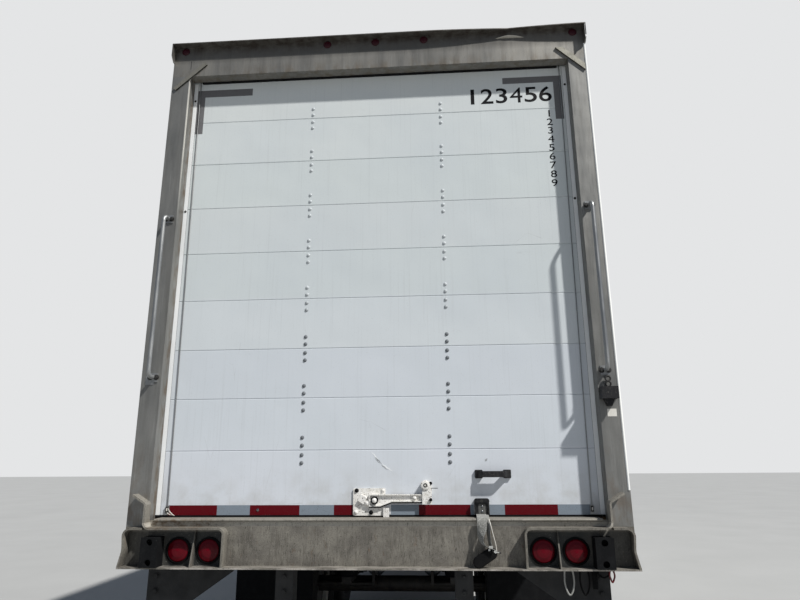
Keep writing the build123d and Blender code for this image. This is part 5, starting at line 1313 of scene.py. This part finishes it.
class TRAILER_OT_rear_fasteners(Step, bpy.types.Operator):
    """Adds dark screws in the door's edge strips, bolts on the grab rails' pads and the guard's hangers, and
    the one bright screw in the tape."""

    bl_idname = "trailer.rear_fasteners"
    bl_label = "Add Rear Fasteners"

    def execute(self, context):
        screw = turned(((0, 0), (0.0075, 0), (0.0072, 0.0018), (0.0045, 0.0034), (0, 0.0038)), 14)
        hexagon = turned(((0, 0.002), (0.0105, 0.002), (0.0105, 0.009), (0.009, 0.0105), (0, 0.0105)), 6)
        bolt = joined(drum(0.015, 0, 0.002, 16), hexagon)
        sides = np.array([-1, 1])
        edges = lattice(sides * (OPENING - 0.012), DOOR_Y - 0.0009, (3.01, 3.775))
        pads_x = np.add.outer(sides * (HALF_WIDTH - 0.0695), (-0.0175, 0.0175)).ravel()
        pads_z = (face("grab_rails", LOW, Z) + 0.025, face("grab_rails", HIGH, Z) - 0.025)
        pads = lattice(pads_x, face("grab_rails", HIGH, Y) - 0.006, pads_z)
        hangers = np.outer((HALF_WIDTH - 0.1795, 0.452), sides).ravel()
        guard = lattice(hangers, face("guard_posts", LOW, Y), (0.66, 0.74, 0.9, 0.97))
        tape = [(-0.626, DOOR_Y - 0.0005, FLOOR_Z + 0.036)]
        piece("edge_screws", placed(screw, edges, ON_REAR), "black_chassis")
        piece("tape_screw", placed(screw, tape, ON_REAR), "galvanised_steel", "bolt_steel")
        piece("grab_rail_bolts", placed(bolt, pads, ON_REAR), "black_chassis")
        piece("guard_bolts", placed(bolt, guard, ON_REAR), "guard_paint")
        return {"FINISHED"}


# Rivets: how far apart they stand along rails and seams, how far apart down posts, and the posts' bays
RIVET_PITCH, POST_PITCH, BAY = 0.076, 0.1016, 1.219


class TRAILER_OT_rivets(Step, bpy.types.Operator):
    """Adds domed rivets down the side and nose walls' posts and seams, and along the rails."""

    bl_idname = "trailer.rivets"
    bl_label = "Add Rivets"

    def execute(self, context):
        head = dome(context.scene.trailer_sizes.rivet_radius, 0.0022, 7, 1)
        seams = (WALL_START_Y + BAY * np.arange(1, 13)[:, None] + (-0.024, 0.024)).ravel()
        seams = np.append(seams, (WALL_START_Y + 0.02, WALL_START_Y + 0.056))
        posts = (WALL_START_Y + BAY * np.arange(13)[:, None] + (0.406, 0.813)).ravel()
        posts = posts[posts < WALL_END_Y - 0.1]
        along = np.arange(WALL_START_Y + 0.06, WALL_END_Y - 0.03, RIVET_PITCH)
        feet = WALL_START_Y + 0.15 + 0.3048 * np.arange(52)
        low, high = RAIL_HIGH_Z + 0.03, TOP_RAIL_Z - 0.02
        close, wide = np.arange(low, high, RIVET_PITCH), np.arange(low, high, POST_PITCH)
        for label, sign in (("left", -1), ("right", 1)):
            proud, rail = sign * (WALL_X + 0.0025), sign * RAIL_X
            places = np.vstack((
                lattice(proud, seams, close),
                lattice(sign * WALL_X, posts, wide),
                lattice(rail, along, (RAIL_HIGH_Z - 0.028, TOP_RAIL_Z + 0.03)),
                lattice(rail, feet, np.arange(RAIL_LOW_Z + 0.022, RAIL_LOW_Z + 0.1, 0.035)),
            ))
            piece(f"side_rivets_{label}", placed(head, places, outward(sign)), "aluminium_rail", smooth=False)
        places = np.vstack((
            lattice((-1.14, -0.81, -0.406, 0.0, 0.406, 0.81, 1.14), face("front_wall", HIGH, Y), wide),
            lattice(np.arange(-1.15, 1.16, RIVET_PITCH), NOSE_Y, (RAIL_HIGH_Z - 0.03, TOP_RAIL_Z + 0.03)),
        ))
        piece("nose_rivets", placed(head, places, ON_NOSE), "aluminium_rail", smooth=False)
        return {"FINISHED"}


# Half of a tyre's outline, from the bead out to the shoulder: distance from its middle plane, radius
TYRE_WALL = (
    (0.103, 0.2876), (0.108, 0.292), (0.1124, 0.3006), (0.119, 0.309), (0.127, 0.327), (0.133, 0.35),
    (0.137, 0.37), (0.1372, 0.374), (0.1392, 0.377), (0.1414, 0.4), (0.1419, 0.415), (0.1404, 0.433),
    (0.1372, 0.45), (0.1375, 0.453), (0.135, 0.46), (0.1315, 0.469), (0.1265, 0.481), (0.12, 0.491),
    (0.114, 0.4985), (0.108, 0.5005),
)
# Tread: its radius, how far its crown falls at its edge, half its width, the grooves' middles, how far their
# edges swing, how deep the shoulder's notches are, and how far each twin stands off the pair's middle
TYRE_RADIUS, CROWN, CROWN_HALF = 0.505, 0.004, 0.112
GROOVES = (-0.066, -0.022, 0.022, 0.066)
GROOVE_SWING, NOTCH, TWIN_OFFSET = 0.0035, 0.006, 0.165


def tyre_form(middle_x, centre_y, sizes):
    """One tyre. Round its axis: radius r(s) of the outline, less a crown of 4 mm (s / half width)^2 over the
    tread, less a groove where s is in one. A groove's edges swing sideways by a triangle wave of the angle,
    and the shoulder loses 6 mm over the middle third of every pitch."""
    pitches, count = sizes.tread_pitches, sizes.tread_pitches * 6
    edges = ((-0.0065, 0.0), (-0.0045, sizes.tread_depth), (0.0045, sizes.tread_depth), (0.0065, 0.0))
    s, cut = np.array([(groove + offset, cut) for groove in GROOVES for offset, cut in edges]).T
    tread = np.column_stack((s, TYRE_RADIUS - CROWN * (s / CROWN_HALF) ** 2 - cut))
    wall = np.array(TYRE_WALL)
    outline = np.vstack((wall * (-1, 1), tread, wall[::-1]))
    swing = np.concatenate((np.zeros(len(wall)), np.full(len(tread), GROOVE_SWING), np.zeros(len(wall))))
    angle = np.linspace(0, 2 * np.pi, count, endpoint=False)[:, None]
    phase = (angle * pitches / (2 * np.pi)) % 1.0
    across = middle_x + outline[:, 0] + swing * (1 - 4 * np.abs(phase - 0.5))
    shoulder = (outline[:, 1] > 0.478) & (np.abs(outline[:, 0]) > 0.1)
    radius = outline[:, 1] - NOTCH * (shoulder & (np.abs(phase - 0.5) < 0.17))
    points = np.broadcast_arrays(across, centre_y + radius * np.cos(angle), AXLE_Z + radius * np.sin(angle))
    faces = grid_faces(count, len(outline), closed_rows=True, closed_columns=True)
    return np.stack(points, -1).reshape(-1, 3), [faces]


class TRAILER_OT_tyres(Step, bpy.types.Operator):
    """Adds two ribbed tyres to every wheel end, in place of the frame's plain ones."""

    bl_idname = "trailer.tyres"
    bl_label = "Add Tyres"

    def execute(self, context):
        sizes = context.scene.trailer_sizes
        x = middle("tyres_front_right", X)
        for end, (sign, y) in WHEEL_ENDS.items():
            pair = joined(*[tyre_form(sign * x + offset, y, sizes) for offset in (-TWIN_OFFSET, TWIN_OFFSET)])
            name, body, solids = f"ribbed_tyres_{end}", f"wheel_{end}", [f"tyres_{end}"]
            piece(name, pair, "tyre_rubber", body=body, stands_for=solids)
        return {"FINISHED"}


def ring_places(radius, count, x, y, phase=0.0):
    """Places at even angles round an axle: (x, y + r cos a, z + r sin a)."""
    angle = phase + np.linspace(0, 2 * np.pi, count, endpoint=False)
    return np.column_stack((np.full(count, x), y + radius * np.cos(angle), AXLE_Z + radius * np.sin(angle)))


class TRAILER_OT_wheel_nuts(Step, bpy.types.Operator):
    """Adds ten flanged nuts on studs round each hub, the hub cap's bolts and plug, and a valve stem."""

    bl_idname = "trailer.wheel_nuts"
    bl_label = "Add Wheel Nuts"

    def execute(self, context):
        size = context.scene.trailer_sizes.nut_radius
        nut = joined(
            turned(((0, 0), (size * 1.2, 0), (size * 1.2, 0.003), (size * 1.02, 0.006), (0, 0.006)), 20),
            turned(((0, 0.005), (size, 0.005), (size, 0.024), (size * 0.86, 0.027), (0, 0.027)), 6),
            turned(((0, 0.02), (0.0095, 0.02), (0.0095, 0.037), (0.0075, 0.039), (0, 0.039)), 12),
        )
        bolt = joined(drum(0.008, 0, 0.0012, 12), drum(0.0062, 0.001, 0.006, 6))
        plug = turned(((0, 0), (0.019, 0), (0.019, 0.004), (0.012, 0.006), (0.011, 0.009), (0, 0.009)), 24)
        stem = turned(((0, 0), (0.0045, 0), (0.0045, 0.03), (0.0035, 0.032), (0.0035, 0.04), (0, 0.04)), 10)
        disc = face("wheels_front_right", LOW, X) + 0.2882
        cap = middle("wheels_front_right", X) + 0.15
        for end, (sign, y) in WHEEL_ENDS.items():
            axes = outward(sign)
            parts = joined(
                placed(nut, ring_places(0.1429, 10, sign * disc, y), axes),
                placed(bolt, ring_places(0.066, 6, sign * (cap - 0.0065), y, 0.3), axes),
                placed(plug, [(sign * cap, y, AXLE_Z)], axes),
                placed(stem, ring_places(0.24, 1, sign * (disc + 0.03), y, 0.9), axes),
            )
            piece(f"wheel_nuts_{end}", parts, "galvanised_steel", body=f"wheel_{end}")
        return {"FINISHED"}


# The camera's yaw, pitch and roll in degrees, and its place, whose Y counts from the rear posts
VIEW_ANGLES = (-3.78, 14.98, -0.41)
VIEW_PLACE = (0.358, -3.229, 1.530)


class TRAILER_OT_camera(Step, bpy.types.Operator):
    """Adds the camera of the photograph: 3.2 m behind the trailer, looking a little up and to the left."""

    bl_idname = "trailer.camera"
    bl_label = "Add Camera"

    def execute(self, context):
        lens_of_view = bpy.data.cameras.new("camera")
        lens_of_view.sensor_fit = "HORIZONTAL"
        lens_of_view.sensor_width = 36.0
        lens_of_view.lens = 27.05
        lens_of_view.clip_end = 300.0
        yaw, pitch, roll = np.radians(VIEW_ANGLES)
        forward = Vector((math.sin(yaw) * math.cos(pitch), math.cos(yaw) * math.cos(pitch), math.sin(pitch)))
        right = Vector((math.cos(yaw), -math.sin(yaw), 0.0))
        up = right.cross(forward)
        rolled_right = right * math.cos(roll) + up * math.sin(roll)
        rolled_up = up * math.cos(roll) - right * math.sin(roll)
        axes = Matrix((rolled_right, rolled_up, -forward)).transposed().to_4x4()
        camera = bpy.data.objects.new("camera", lens_of_view)
        x, ahead, z = VIEW_PLACE
        camera.matrix_world = Matrix.Translation((x, POST_Y + ahead, z)) @ axes
        context.scene.collection.objects.link(camera)
        context.scene.camera = camera
        return {"FINISHED"}


class TRAILER_OT_stage(Step, bpy.types.Operator):
    """Adds a pale floor, even light from all round, and one soft key light from high up on the right."""

    bl_idname = "trailer.stage"
    bl_label = "Add Stage"

    def execute(self, context):
        colours = context.scene.trailer_colours
        finish, tree = begin("pale_concrete_floor")
        finished(finish, tree, stained(tree, "#A9A9A7", ("#A3A3A1", 1.5, (0.3, 0.7), 1.0)), 0.85)
        mesh = bpy.data.meshes.new("floor_plane")
        mesh.from_pydata([(-60, -60, 0), (60, -60, 0), (60, 60, 0), (-60, 60, 0)], [], [(0, 1, 2, 3)])
        mesh.materials.append(finish)
        plane = bpy.data.objects.new("floor_plane", mesh)
        context.scene.collection.objects.link(plane)

        world = bpy.data.worlds.new("studio")
        world.use_nodes = True
        tree = world.node_tree
        tree.nodes.clear()
        rays = add(tree, "ShaderNodeLightPath").outputs
        seen = add(tree, "ShaderNodeMath", {"operation": "MAXIMUM"},
                   {0: rays["Is Camera Ray"], 1: rays["Is Transmission Ray"]})
        sky = {"Color": linear("#D9E8FF"), "Strength": colours.fill_strength}
        fill = add(tree, "ShaderNodeBackground", sky)
        back = add(tree, "ShaderNodeBackground", {"Color": linear("#E4E5E6"), "Strength": 1.0})
        mixed = add(tree, "ShaderNodeMixShader", {}, {0: seen, 1: fill, 2: back})
        add(tree, "ShaderNodeOutputWorld", {}, {"Surface": mixed})
        context.scene.world = world

        key = bpy.data.lights.new("key_light", "SUN")
        key.energy = colours.key_strength
        key.angle = math.radians(2)
        key.color = (1.0, 0.985, 0.96)
        lamp = bpy.data.objects.new("key_light", key)
        lamp.rotation_euler = Vector((-1.41, 1.0, -2.0)).to_track_quat("-Z", "Y").to_euler()
        context.scene.collection.objects.link(lamp)
        context.scene.view_settings.view_transform = "Standard"
        return {"FINISHED"}


class TRAILER_PT_sidebar(bpy.types.Panel):
    """Lists the trailer's sizes, colours and steps."""

    bl_label = "Box Semi-Trailer"
    bl_space_type = "VIEW_3D"
    bl_region_type = "UI"
    bl_category = "Trailer"

    def draw(self, context):
        for group in (context.scene.trailer_sizes, context.scene.trailer_colours):
            box = self.layout.box()
            for name in group.__annotations__:
                box.prop(group, name)
        for step in STEPS:
            self.layout.operator(step.bl_idname)


STEPS = (
    TRAILER_OT_camera,
    TRAILER_OT_stage,
    TRAILER_OT_frame_finishes,
    TRAILER_OT_strap,
    TRAILER_OT_strap_fittings,
    TRAILER_OT_cords,
    TRAILER_OT_door_bolts,
    TRAILER_OT_door_edges,
    TRAILER_OT_scratches,
    TRAILER_OT_tapes,
    TRAILER_OT_numbers,
    TRAILER_OT_latch_fittings,
    TRAILER_OT_corner_bars,
    TRAILER_OT_post_trim,
    TRAILER_OT_rear_fasteners,
    TRAILER_OT_rivets,
    TRAILER_OT_tyres,
    TRAILER_OT_wheel_nuts,
)


def register():
    for item in (TrailerSizes, TrailerColours, *STEPS, TRAILER_PT_sidebar):
        bpy.utils.register_class(item)
    bpy.types.Scene.trailer_sizes = PointerProperty(type=TrailerSizes)
    bpy.types.Scene.trailer_colours = PointerProperty(type=TrailerColours)


def unregister():
    del bpy.types.Scene.trailer_colours
    del bpy.types.Scene.trailer_sizes
    for item in (TRAILER_PT_sidebar, *reversed(STEPS), TrailerColours, TrailerSizes):
        bpy.utils.unregister_class(item)


def main():
    """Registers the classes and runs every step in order."""
    register()
    bpy.ops.trailer.camera()
    bpy.ops.trailer.stage()
    bpy.ops.trailer.frame_finishes()
    bpy.ops.trailer.strap()
    bpy.ops.trailer.strap_fittings()
    bpy.ops.trailer.cords()
    bpy.ops.trailer.door_bolts()
    bpy.ops.trailer.door_edges()
    bpy.ops.trailer.scratches()
    bpy.ops.trailer.tapes()
    bpy.ops.trailer.numbers()
    bpy.ops.trailer.latch_fittings()
    bpy.ops.trailer.corner_bars()
    bpy.ops.trailer.post_trim()
    bpy.ops.trailer.rear_fasteners()
    bpy.ops.trailer.rivets()
    bpy.ops.trailer.tyres()
    bpy.ops.trailer.wheel_nuts()


if __name__ == "__main__":
    main()
